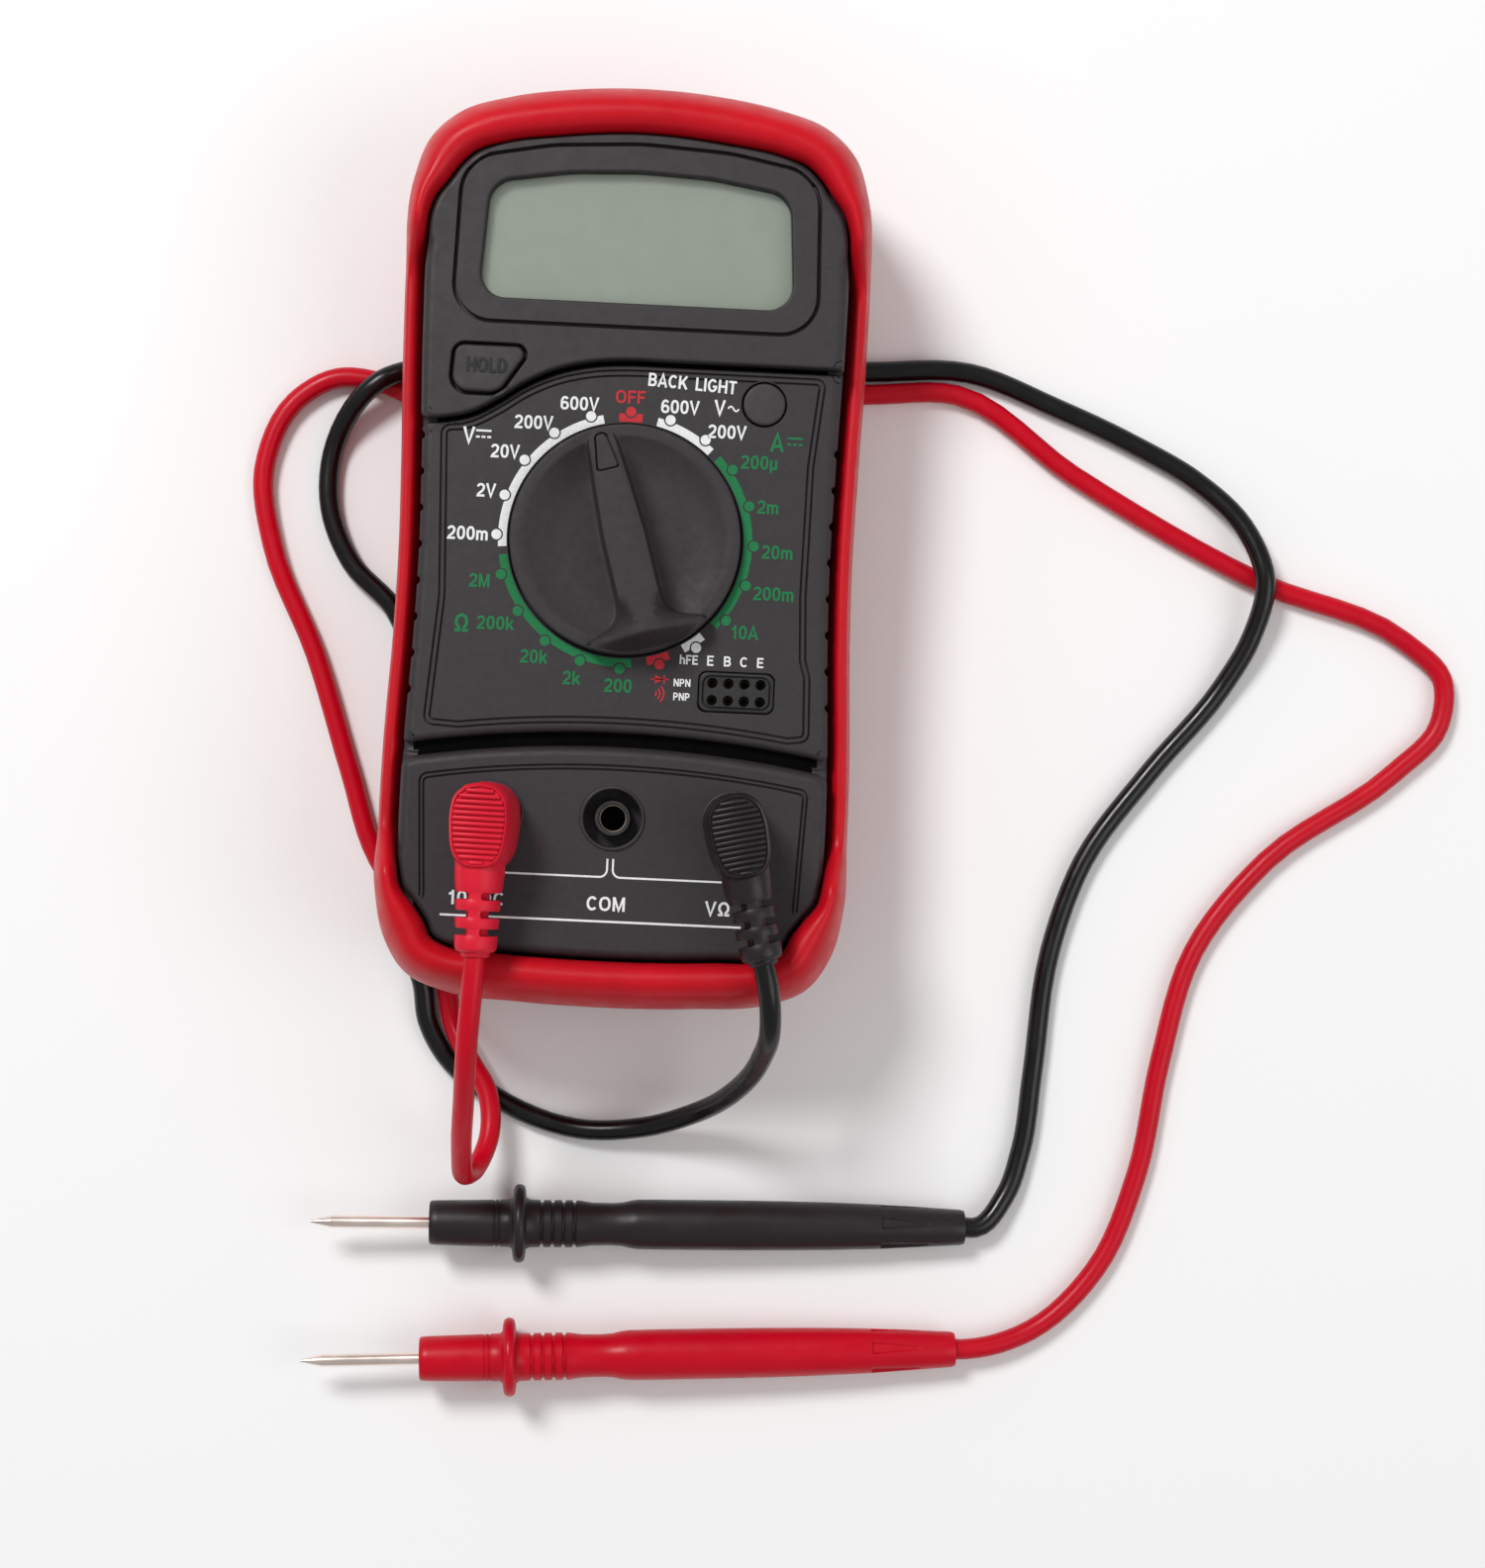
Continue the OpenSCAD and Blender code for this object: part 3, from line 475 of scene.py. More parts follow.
class Shape:
    """Vertices in millimetres and faces, gathered before they become a piece."""

    def __init__(self):
        self.verts = []
        self.faces = []

    def ring(self, points):
        start = len(self.verts)
        self.verts += [tuple(p) for p in points]
        return list(range(start, start + len(points)))

    def bridge(self, a, b, is_closed=True):
        n = len(a)
        for i in range(n if is_closed else n - 1):
            j = (i + 1) % n
            self.faces.append((a[i], a[j], b[j], b[i]))

    def rings(self, loops, is_closed=True):
        made = [self.ring(loop) for loop in loops]
        for a, b in zip(made, made[1:]):
            self.bridge(a, b, is_closed)
        return made

    def fan(self, ring):
        """Closes a ring with triangles to its middle."""
        middle = sum((Vector(self.verts[i]) for i in ring), Vector((0, 0, 0))) / len(ring)
        hub = self.ring([middle])[0]
        n = len(ring)
        self.faces += [(ring[i], ring[(i + 1) % n], hub) for i in range(n)]

    def tube(self, loops):
        """A loft through rings, closed at both ends."""
        made = self.rings(loops)
        self.fan(made[0])
        self.fan(made[-1])

    def lathe(self, profile, count, is_closed=False):
        """A profile of (radius, height) points turned about Z. A point on the axis closes an end."""
        loops = []
        for r, z in profile:
            if r == 0:
                loops.append(self.ring([(0, 0, z)]))
            else:
                loops.append(self.ring([(p.x, p.y, z) for p in circle(0, 0, r, count)]))
        pairs = list(zip(loops, loops[1:]))
        if is_closed:
            pairs.append((loops[-1], loops[0]))
        for a, b in pairs:
            if len(a) == 1 or len(b) == 1:
                hub, rim = (a[0], b) if len(a) == 1 else (b[0], a)
                self.faces += [(rim[i], rim[(i + 1) % count], hub) for i in range(count)]
            else:
                self.bridge(a, b)

    def add(self, other, matrix=Matrix.Identity(4)):
        start = len(self.verts)
        self.verts += [tuple(matrix @ Vector(v)) for v in other.verts]
        self.faces += [tuple(i + start for i in f) for f in other.faces]
        return self

    def box(self, x, y, z, edge):
        """A block with rounded edges all round."""
        plate(self, rectangle(x, y, edge), *z, edge, foot=edge * 0.7)


def inside(loop, points):
    """Which of the points (an n by 2 array) are inside a loop."""
    poly = np.array([tuple(p)[:2] for p in loop])
    x, y = points[:, 0], points[:, 1]
    hit = np.zeros(len(points), bool)
    for (ax, ay), (bx, by) in zip(poly, np.roll(poly, -1, 0)):
        if ay == by:
            continue
        spans = (ay > y) != (by > y)
        hit ^= spans & (x < (bx - ax) * (y - ay) / (by - ay) + ax)
    return hit


SUPPORT = 0.12       # width of the flat strip inside a rounded edge
GROOVE_LIP = 0.05    # how far a groove's lip and floor are from its wall
GROOVE_EDGE = 0.06   # how deep the lip falls
EDGE_STEPS = 5
EDGE_BLURS = 6       # rounds of averaging where an edge's radius varies along it


def groove_loops(line, width, is_closed):
    """Three nested loops for a groove's lip, its wall and its floor on one side and the other."""
    def sides(half):
        if is_closed:
            return [inset(line, half), inset(line, -half)]
        tips = [line[0] * 2 - line[1]] + line + [line[-1] * 2 - line[-2]]
        left = [p + n * half for p, n in zip(line, left_normals(tips)[1:-1])]
        right = [p - n * half for p, n in zip(line, left_normals(tips)[1:-1])]
        return [left + right[::-1]]
    return [sides(width / 2 + GROOVE_LIP), sides(width / 2), sides(width / 2 - GROOVE_LIP)]


def plate(shape, outline, low, high, edge, holes=(), grooves=(), foot=0.0, drop=None, dent=None):
    """A flat solid with a rounded top edge, rounded holes and grooves cut into its top.

    edge is the edge's radius, or a function of a point that gives it. drop is the edge's height
    where it differs from its width. foot is the bevel round the bottom. holes are (loop, radius).
    grooves are (line, width, depth, is_closed). dent gives the depth of a notch in the outline at a
    point; notches run out at the top."""
    loops = [(turned([Vector(p) for p in outline]), edge, drop)]
    loops += [(turned([Vector(p) for p in hole], False), r, None) for hole, r in holes]
    feet, tops = [], []
    for loop, r, fall in loops:
        cut = [dent(p) for p in loop] if dent and fall is not None else [0.0] * len(loop)
        radius = [r(p) for p in loop] if callable(r) else [r] * len(loop)
        for _ in range(EDGE_BLURS):
            beside = zip(radius[-1:] + radius, radius, radius[1:] + radius[:1])
            radius = [sum(three) / 3 for three in beside]
        tall = [min(q, high - low) if fall is None else fall * q / max(radius) for q in radius]
        rings = []
        if foot:
            rings.append([(*p, low) for p in inset(loop, foot)])
            rings.append([(*p, low + foot) for p in loop])
        else:
            rings.append([(*p, low) for p in inset(loop, cut)])
        for k in range(EDGE_STEPS + 1):
            angle = math.pi / 2 * k / EDGE_STEPS
            left = 1 - math.sin(angle)
            moved = inset(loop, [q * (1 - math.cos(angle)) + c * left for q, c in zip(radius, cut)])
            rings.append([(*p, high - t * left) for p, t in zip(moved, tall)])
        flat = inset(loop, [q + SUPPORT for q in radius])
        rings.append([(*p, high) for p in flat])
        made = shape.rings(rings)
        feet.append(made[0])
        tops.append((flat, made[-1]))
    cuts = []
    for line, width, depth, is_closed in grooves:
        for level, group in zip((0, GROOVE_EDGE, depth), groove_loops(line, width, is_closed)):
            cuts += [(loop, [high - level] * len(loop)) for loop in group]
    fill(shape, tops, cuts, high)
    fill(shape, [([Vector(shape.verts[i][:2]) for i in ring], ring) for ring in feet], [], low)
    return shape


def fill(shape, borders, cuts, level):
    """Triangles inside the first border and outside the others, with the cuts' lines in them.

    Each border is (loop, indices of its vertices), and each cut (loop, heights of its points)."""
    points, links, tags = [], [], []
    for loop, marks in borders + cuts:
        start, n = len(points), len(loop)
        points += loop
        tags += marks
        links += [(start + i, start + (i + 1) % n) for i in range(n)]
    verts, _, faces, origin = delaunay_2d_cdt(points, links, [], 0, 1e-5, True)[:4]
    index = []
    for vert, source in zip(verts, origin):
        known = [tags[i] for i in source]
        whole = [t for t in known if isinstance(t, int)]
        if whole:
            index.append(whole[0])
        else:
            index.append(shape.ring([(vert.x, vert.y, min(known) if known else level)])[0])
    middles = np.array([[sum(verts[i][k] for i in f) / 3 for k in (0, 1)] for f in faces])
    keep = inside(borders[0][0], middles)
    for hole, _ in borders[1:]:
        keep &= ~inside(hole, middles)
    shape.faces += [tuple(index[i] for i in f) for f, good in zip(faces, keep) if good]


def piece(name, shape, look, body, replaces=(), crease=38):
    """Makes the Blender object of a shape and says what it rides on and stands for."""
    mesh = bpy.data.meshes.new(name)
    mesh.from_pydata([tuple(c * MM for c in v) for v in shape.verts], [], shape.faces)
    work = bmesh.new()
    work.from_mesh(mesh)
    bmesh.ops.remove_doubles(work, verts=work.verts, dist=1e-7)
    bmesh.ops.dissolve_degenerate(work, edges=work.edges, dist=1e-8)
    bmesh.ops.recalc_face_normals(work, faces=work.faces)
    work.to_mesh(mesh)
    work.free()
    mesh.shade_smooth()
    mesh.set_sharp_from_angle(angle=math.radians(crease))
    mesh.materials.append(LOOKS[look])
    made = added(name, mesh)
    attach(made, body)
    if replaces:
        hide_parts(*replaces)
    return made


# ---- the meter's main outlines

HALF = [
    (0, 73.1), (12, 72.4), (22, 70.7), (30, 67.8), (34.4, 63.4), (36.6, 57), (37.5, 46), (37.5, 32),
    (36.95, 12), (36.7, -2), (36.95, -16), (37.65, -32), (37.85, -46), (37.6, -57), (36.1, -64.3),
    (32.1, -70.3), (25.6, -73), (14, -74.1), (0, -74.5),
]
LIP_HALF = [
    (0, 64.4), (13, 63.4), (22, 61.9), (26.2, 60.4), (28.4, 58.4), (30.4, 55.6), (32.4, 52.8),
    (33.3, 50), (33.3, 44), (33, 30), (32.4, 0), (32.8, -26), (33.5, -44), (33.6, -53), (32.9, -56.2),
    (30.8, -58.9), (28.9, -61.6), (27.7, -64), (25, -65.4), (17, -66.1), (8, -66.5), (0, -66.6),
]
OUTLINE = turned(curve(mirrored(HALF), 10, True))
LIP = turned(curve(mirrored(LIP_HALF), 10, True))
# Heights over the table: the feet, the case's seam, the dial's face, the display housing, the jack panel
PAD_H = 4.6
SEAM_Z = 18.0
FACE_Z = 34.0
HOUSING_Z = 36.0
JACK_PANEL_Z = 35.0
CASE_INSET = 4.1     # from the holster's outline to the case's side


def ray_hit(origin, target, loop):
    """Where the line from origin towards target crosses a loop, farthest from the origin."""
    way = target - origin
    best = 0.0
    for a, b in zip(loop, loop[1:] + loop[:1]):
        side = b - a
        turn = way.x * side.y - way.y * side.x
        if abs(turn) < 1e-12:
            continue
        gap = a - origin
        t = (gap.x * side.y - gap.y * side.x) / turn
        u = (gap.x * way.y - gap.y * way.x) / turn
        if 0 <= u <= 1 and t > best:
            best = t
    return origin + way * best


def width_at(loop, y):
    """Half width of a symmetric loop at a height y."""
    return ray_hit(Vector((0, y)), Vector((1, y)), loop).x


def lip_share(y):
    """1 where the holster's lip laps over the case, 0 along its low side walls."""
    return max(smooth(y, 41, 50), smooth(-y, 46, 55))


# ---- holster

# Cross-sections from the outer wall over the top to the inner wall: share of the width, and height
LIP_SECTION = [
    (0.0, 24), (0.02, 27.3), (0.07, 30.4), (0.16, 33.2), (0.28, 35.7), (0.42, 37.4), (0.54, 38.2),
    (0.65, 38.5), (0.77, 38.35), (0.875, 37.8), (0.95, 36.9), (0.99, 35.8), (1.0, 34.6), (0.985, 33.5),
]
WALL_SECTION = [
    (0.0, 22), (0.05, 25.5), (0.12, 28), (0.19, 29.6), (0.24, 30.5), (0.285, 30.85), (0.33, 31),
    (0.45, 31), (0.56, 30.95), (0.65, 30.7), (0.73, 30.2), (0.82, 29.2), (0.91, 27.9), (0.97, 26.6),
]
# How far in the underside is at each height
UNDERSIDE = [(8.4, PAD_H), (7.2, 4.72), (4.9, 5.5), (2.6, 7.2), (1.0, 9.4), (0.2, 12.4), (0.0, 17)]
INNER_WALL = 4.0
SIDE_REACH = 45      # the lip is square to the side walls up to here, and fans out beyond
# Inside of the wall: heights beside the low walls and under the lip, and its share of the lip's reach
INSIDE = [(25.6, 33.15, 0.93), (24, 33.1, 0.0), (20, 31, 0.0), (7, 7, 0.0)]
PAD_AT = (20, 60)
PAD_R = 5
HINGE = (15.0, 2.9)  # y and z of the stand's hinge
LUG = (18.6, 22.4)   # inner and outer face of a hinge lug
STAND_LEN = 57.0
STAND_HALF = 18.0


def holster():
    """The rubber shell with its lip, low side walls, feet and hinge lugs."""
    shape = Shape()
    normals = left_normals(OUTLINE)
    loops = [[(*(p + n * d), z) for p, n in zip(OUTLINE, normals)] for d, z in UNDERSIDE]
    edges = []
    for p in OUTLINE:
        origin = Vector((0, max(-SIDE_REACH, min(SIDE_REACH, p.y))))
        share = lip_share(p.y)
        lip = ray_hit(origin, p, LIP)
        way = (lip - p).normalized()
        across = mix(INNER_WALL, (lip - p).length, share)
        edges.append((p, way, across, share))
    for (f1, z1), (f0, z0) in zip(LIP_SECTION, WALL_SECTION):
        loops.append([(*(p + way * across * mix(f0, f1, s)), mix(z0, z1, s)) for p, way, across, s in edges])
    for z0, z1, f in INSIDE:
        ring = []
        for (p, way, across, s), n in zip(edges, normals):
            wall = p + n * INNER_WALL
            ring.append((*wall.lerp(p + way * across * 0.95, f * s), mix(z0, z1, s)))
        loops.append(ring)
    shape.tube(loops)
    pad = Shape()
    pad.lathe([(0, 0), (PAD_R - 0.9, 0), (PAD_R - 0.3, 0.25), (PAD_R, 0.9), (PAD_R + 0.2, PAD_H - 0.6),
               (PAD_R + 0.9, PAD_H + 0.3), (0, PAD_H + 0.3)], 48)
    for x in (-1, 1):
        for y in (-1, 1):
            shape.add(pad, Matrix.Translation((x * PAD_AT[0], y * PAD_AT[1], 0)))
    for x in (-LUG[1], LUG[0]):
        shape.box((x, x + LUG[1] - LUG[0]), (HINGE[0] - 3, HINGE[0] + 3), (1.2, PAD_H + 0.6), 0.6)
    piece("holster_shell", shape, "holster_rubber", "meter", replaces=["holster"], crease=50)


holster()


def kickstand():
    """The stand, folded flat, with its hinge pin."""
    shape = Shape()
    flat = Shape()
    free = HINGE[0] - STAND_LEN
    outline = rectangle((-STAND_HALF, STAND_HALF), (free, HINGE[0] - 0.2), 4, 0.4)
    panel = rectangle((-14, 14), (free + 12, 7), 2)
    grip = rectangle((-9, 9), (free + 1.6, free + 7), 1, 2)
    grooves = [(resampled(panel, 2), 0.5, 0.4, True), (resampled(grip, 1), 0.6, 0.6, True)]
    plate(flat, resampled(outline, 2), 1.8, 4.2, 0.5, grooves=grooves, foot=0.4)
    # The panel and the finger grip are on the side away from the meter
    shape.add(flat, Matrix.Translation((0, 0, 6.0)) @ Matrix.Scale(-1, 4, (0, 0, 1)))
    reach = LUG[1] - 0.4
    end = [(1.5, STAND_HALF), (1.2, STAND_HALF), (1.2, reach - 0.2), (1.0, reach), (0, reach)]
    pin = Shape()
    pin.lathe([(r, -z) for r, z in end[::-1]] + end, 32)
    shape.add(pin, Matrix.Translation((0, *HINGE)) @ Matrix.Rotation(math.pi / 2, 4, "Y"))
    piece("stand_plate", shape, "stand_plastic", "stand", replaces=["kickstand"])


kickstand()


# ---- front case

# Undersides of the three face plates, and the heights of the near-black floors between them, which are
# painted shade
HOUSING_UNDER, DIAL_UNDER, PANEL_UNDER = 33.5, 31.9, 32.4
FLOOR_UNDER, STEP_FLOOR, VALLEY_FLOOR = 31, 31.45, 31.98
# The grip notches along the sides, from the highest one down
NOTCH_TOP = 15.3
NOTCH_PITCH = 5.75
NOTCHES = 8
NOTCH_R = 0.62
STEP_GAP = 0.7             # between the display housing and the dial's face
VALLEY_CENTRE = -214.5     # centre of the two arcs between the dial's face and the jack panel
VALLEY_R = (184.0, 181.8)
SIDE_EDGE = 1.6            # radius of the faces' edges at the sides and under the lip
LIP_EDGE = 0.9
FINE_LINE = (0.28, 0.5)    # width and depth of the fine lines round the panels
LINE_PITCH = {"dial": 0.85, "jacks": 0.65}
JACK_PITCH = 19.05
JACK_Y = -44.0
KNOB_R = 18.2
# Circles (x, y, radius) that the hold button's outline wraps
HOLD_CIRCLES = [(-26.5, 27.9, 1.6), (-18.5, 28.2, 1.3), (-25.7, 24.7, 2.6), (-22.6, 25.1, 3.0)]
LIGHT_AT = (21.0, 22.5)
LIGHT_R = 3.3
SOCKET_AT = (18.6, -23.3)
SOCKET_SIZE = (11.8, 6.2)
PIN_PITCH = 2.54
PIN_HOLE_R = 0.82
# Edge of the display housing above the dial, from left to right
STEP_LINE = [
    (-33.2, 17.8), (-29.5, 18.1), (-25, 19.2), (-21, 21.4), (-17, 24.1), (-12.5, 26.3), (-6.3, 27.9),
    (0, 28.4), (5, 28.4), (20, 28.4), (33.4, 28.4),
]


def notch(y):
    """Depth of the grip notches along the case's sides."""
    for k in range(NOTCHES):
        off = abs(y - (NOTCH_TOP - k * NOTCH_PITCH)) / NOTCH_R
        if off < 1:
            return NOTCH_R * math.sqrt(1 - off * off)
    return 0.0


def side_x(y):
    """Half width of the front case's face at a height y."""
    return mix(width_at(OUTLINE, y) - CASE_INSET, width_at(LIP, y) - 0.4, lip_share(y))


def side(sign, start, end):
    """Points along one side of the face."""
    count = math.ceil(abs(end - start) / 0.25)
    return [Vector((sign * side_x(y), y)) for y in steps_between(start, end, count)]


def side_notch(p):
    return notch(p.y) if abs(p.x) > side_x(p.y) - 0.5 else 0.0


def lip_run(start, way):
    """The lip's opening past a height: from right to left above it where way is 1, and from left to
    right below it where way is -1."""
    picked = [p for p in inset(LIP, 0.4) if way * p.y > way * start]
    return sorted(picked, key=lambda p: -math.atan2(p.x * way, p.y * way))


def valley(radius, x):
    """The y of a circle over the jacks that bounds the curved valley there."""
    return VALLEY_CENTRE + math.sqrt(radius * radius - x * x)


def valley_line(radius, half):
    return [Vector((x, valley(radius, x))) for x in steps_between(-half, half, 60)]


def joined(runs, size, spacing=0.5):
    """A closed loop from runs of points, with each join between them bent over size."""
    out = []
    for k, run in enumerate(runs):
        joins = (runs[k - 1][-1], runs[(k + 1) % len(runs)][0])
        out += [p for p in run if all((p - q).length > size for q in joins)]
    bent = []
    n = len(out)
    for i in range(n):
        a, b = out[i], out[(i + 1) % n]
        bent.append(a)
        if (b - a).length > size * 1.2:
            into = (a - out[i - 1]).normalized() * 1.1
            away = (out[(i + 2) % n] - b).normalized() * 1.1
            bent += [hermite(a, b, into, away, k / 8) for k in range(1, 8)]
    return resampled(bent, spacing)


STEP_CURVE = curve(STEP_LINE, 8)


def face_edge(above, below):
    """Edge radius of a face plate: broad along the sides, and its own at the step and at the valley."""
    def radius(p):
        if abs(p.x) > side_x(p.y) - 0.8:
            return SIDE_EDGE if lip_share(p.y) < 0.6 else LIP_EDGE
        return above if p.y > 0 else below
    return radius


def crowned(corner, shoulder, crown, foot):
    """A symmetric outline with a bowed top, from the (x, y, radius) corners of its right half."""
    left = [(-x, y, r) for x, y, r in (corner, shoulder)]
    return turned(rounded([*left, crown, shoulder, corner, foot, (-foot[0], *foot[1:])]))


BEZEL = crowned((28.2, 58.9, 6.5), (14, 61.6, 30), (0, 62.4, 40), (28.9, 33.4, 6))
WINDOW = crowned((23.7, 55.6, 4.2), (11, 57.6, 30), (0, 58.1, 40), (24.9, 37.2, 4))


def window_loop(grow):
    """The display window's outline, grown or shrunk all round."""
    return inset(resampled(WINDOW, 1.0), -grow)


def housing_plate(shape):
    """The raised face round the display and the hold button."""
    runs = [
        [p for p in STEP_CURVE if abs(p.x) < side_x(p.y)],
        side(1, STEP_CURVE[-1].y, 46.0),
        lip_run(46.4, 1),
        side(-1, 46.0, STEP_CURVE[0].y),
    ]
    plate(
        shape, joined(runs, 0.8), HOUSING_UNDER, HOUSING_Z, face_edge(0.45, 0.45),
        holes=[(window_loop(0), 0.35), (inset(HOLD_LOOP, -0.5), 0.2)],
        grooves=[(resampled(BEZEL, 1.0), 0.6, 1.3, True)], drop=1.7,
    )


def wrapped(circles, gap):
    """The outline of a band stretched round circles, its points more than a gap apart."""
    points = np.array([tuple(p) for c in circles for p in circle(*c, 72)])
    out = []
    for a in full_turn(180):
        p = Vector(points[np.argmax(points @ (math.cos(a), math.sin(a)))])
        if not out or (p - out[-1]).length > gap:
            out.append(p)
    return out if (out[0] - out[-1]).length > gap else out[:-1]


HOLD_LOOP = turned(resampled(wrapped(HOLD_CIRCLES, 0.05), 0.6))


def dial_lines():
    """The outer of the two fine lines round the dial panel."""
    arch = [(p.x, p.y - 1.5, 0) for p in STEP_CURVE if -27 < p.x < 27]
    low = [(x, valley(VALLEY_R[0] + 1.5, x), 0) for x in steps_between(-25, 27, 30)]
    right = [
        (30.6, 26.9, 1.4), (29.2, 13, 8), (28.9, -7.5, 8), (29.3, -17.7, 1.5), (30.1, -20.4, 1.5),
        (30.4, -30.5, 1.5),
    ]
    left = [(-30.5, -30.4, 1.5), (-28.9, -10, 20)]
    return turned(resampled(rounded([(-29.8, 16.9, 1.5), *arch, *right, *low[::-1], *left]), 0.6))


def dial_plate(shape):
    """The face round the knob, with its notched sides."""
    lowered = [p - Vector((0, STEP_GAP)) for p in STEP_CURVE if abs(p.x) < side_x(p.y)]
    runs = [
        valley_line(VALLEY_R[0], side_x(-33)),
        side(1, -33.2, lowered[-1].y),
        lowered[::-1],
        side(-1, lowered[0].y, -33.2),
    ]
    line = dial_lines()
    openings = [
        circle(0, 0, KNOB_R + 0.32, 160), circle(*LIGHT_AT, LIGHT_R + 0.3, 64), socket_loop(0.15),
    ]
    plate(
        shape, joined(runs, 0.8, 0.3), DIAL_UNDER, FACE_Z, face_edge(0.35, 1.0),
        holes=[(loop, 0.1) for loop in openings],
        grooves=[(loop, *FINE_LINE, True) for loop in (line, inset(line, LINE_PITCH["dial"]))],
        drop=1.6, dent=side_notch,
    )


def jack_lines(offset):
    """A fine line over the jack panel, open towards the holster's lip."""
    top = VALLEY_R[1] - 3.0 - offset
    arch = [(x, valley(top, x), 0) for x in steps_between(-26, 26, 40)]
    shoulder = valley(top, 30.5)
    ends = [(-29.7 + offset, -57.3, 0), (-30.6 + offset, shoulder, 1.4 - offset)]
    return resampled(rounded(ends + arch + [(-x, y, r) for x, y, r in ends[::-1]], False), 0.6, False)


def jack_plate(shape):
    """The face round the jacks."""
    runs = [
        lip_run(-52, -1),
        side(1, -51.5, -36.0),
        valley_line(VALLEY_R[1], side_x(-36))[::-1],
        side(-1, -36.0, -51.5),
    ]
    plate(
        shape, joined(runs, 1.2), PANEL_UNDER, JACK_PANEL_Z, face_edge(1.5, 1.5),
        holes=[(circle(k * JACK_PITCH, JACK_Y, 4.8, 72), 0.05) for k in (-1, 0, 1)],
        grooves=[(jack_lines(offset), *FINE_LINE, False) for offset in (0, LINE_PITCH["jacks"])],
        drop=2.0,
    )


def jack_wells(shape):
    """The raised ring and the deep round well of each jack."""
    well = Shape()
    well.lathe([
        (4.5, 29.4), (4.56, 35.2), (4.66, 35.38), (4.78, 35.45), (4.92, 35.45), (5.05, 35.38),
        (5.12, 35.2), (5.12, 34.6), (5.9, 34.4), (5.9, 29.05), (2.86, 29.05), (2.86, 29.4), (3.5, 29.4),
    ], 96, is_closed=True)
    collar = Shape()
    collar.lathe([
        (2.16, 30.25), (2.16, 32.7), (2.26, 32.9), (2.5, 32.97), (2.75, 32.9), (2.88, 32.7), (2.95, 29.3),
        (2.86, 29.3), (2.86, 30.25),
    ], 72, is_closed=True)
    well.add(collar)
    for k in (-1, 0, 1):
        shape.add(well, Matrix.Translation((k * JACK_PITCH, JACK_Y, 0)))


def case_wall(shape):
    """The front shell's side wall and the shoulder under the holster's lip."""
    loop = resampled(OUTLINE, 0.35)
    normals = left_normals(loop)

    def lift(p):
        """How much higher the wall is under the display housing and the jack panel."""
        step = STEP_LINE[0][1] if p.x < 0 else STEP_LINE[-1][1]
        up = 1.6 * smooth(p.y, step + 0.1, step + 0.6) + 0.7 * smooth(-p.y, 34.4, 35)
        return up * (1 - lip_share(p.y)) + 0.9 * lip_share(p.y)

    def ring(distance, z, with_notch=False, with_lift=False):
        out = []
        for p, n in zip(loop, normals):
            reach = CASE_INSET + distance + (notch(p.y) if with_notch else 0)
            out.append((*(p + n * reach), z + (lift(p) if with_lift else 0)))
        return out

    made = shape.rings([
        ring(0, SEAM_Z), ring(0, 24), ring(0, 24.2, True), ring(0, 31.2, True, True),
        ring(0.25, 31.6, True, True), ring(0.9, 31.9, False, True), ring(2.4, 31.95, False, True),
        ring(2.4, 31), ring(2.0, 30), ring(2.0, SEAM_Z),
    ])
    shape.bridge(made[-1], made[0])


def painted_shade_floors():
    """Near-black floors in the gap under the display housing and in the valley over the jacks: painted shade
    for those gaps.
    """
    shape = Shape()
    step = [p - Vector((0, STEP_GAP / 2)) for p in STEP_CURVE if abs(p.x) < 31.5]
    band = [p + Vector((0, 1.0)) for p in step] + [p - Vector((0, 1.8)) for p in step[::-1]]
    plate(shape, resampled(band, 1.0), FLOOR_UNDER, STEP_FLOOR, 0.02)
    lower = valley_line(VALLEY_R[0] + 1.8, 32.0) + valley_line(VALLEY_R[1] - 1.8, 32.0)[::-1]
    plate(shape, resampled(lower, 1.0), FLOOR_UNDER, VALLEY_FLOOR, 0.02)
    piece("painted_shade_floors", shape, "gap_black", "meter")


def front_case():
    """The front shell as one piece."""
    shape = Shape()
    for part in (case_wall, housing_plate, dial_plate, jack_plate, jack_wells):
        part(shape)
    piece("front_shell", shape, "case_plastic", "meter", replaces=["front_case"])


def socket_loop(grow):
    x, y = SOCKET_AT
    w, h = SOCKET_SIZE[0] / 2 + grow, SOCKET_SIZE[1] / 2 + grow
    return rectangle((x - w, x + w), (y - h, y + h), 1.3)


def transistor_block():
    """The socket with two rows of four holes."""
    shape = Shape()
    holes = [
        (circle(SOCKET_AT[0] + (i - 1.5) * PIN_PITCH, SOCKET_AT[1] + j * 1.36, PIN_HOLE_R, 28), 0.08)
        for i in range(4) for j in (-1, 1)
    ]
    rim = turned(resampled(socket_loop(-0.62), 0.5))
    plate(shape, resampled(socket_loop(0), 0.8), 30, FACE_Z + 0.35, 0.3, holes=holes,
          grooves=[(rim, 0.24, 0.4, True)])
    piece("transistor_block", shape, "switch_black", "meter", replaces=["transistor_socket"])


def window_lens():
    """The clear window, and the display's face under it."""
    shape = Shape()
    plate(shape, window_loop(-0.15), 33.7, 34.7, 0.15)
    piece("display_lens", shape, "lens_clear", "meter", replaces=["window_lens"])
    face = Shape()
    plate(face, window_loop(0.4), 33.42, 33.48, 0.02)
    piece("display_face", face, "lcd_glass", "meter")


front_case()
painted_shade_floors()
transistor_block()
window_lens()


# ---- selector knob and buttons

KNOB_TURN = 16.0
KNOB_TOP = 43.5
DISC_TOP = 36.2
KNOB_EDGE = 0.45     # radius of the rounded rim
KNOB_UNDER = 32.2
HUB_R = 5.9
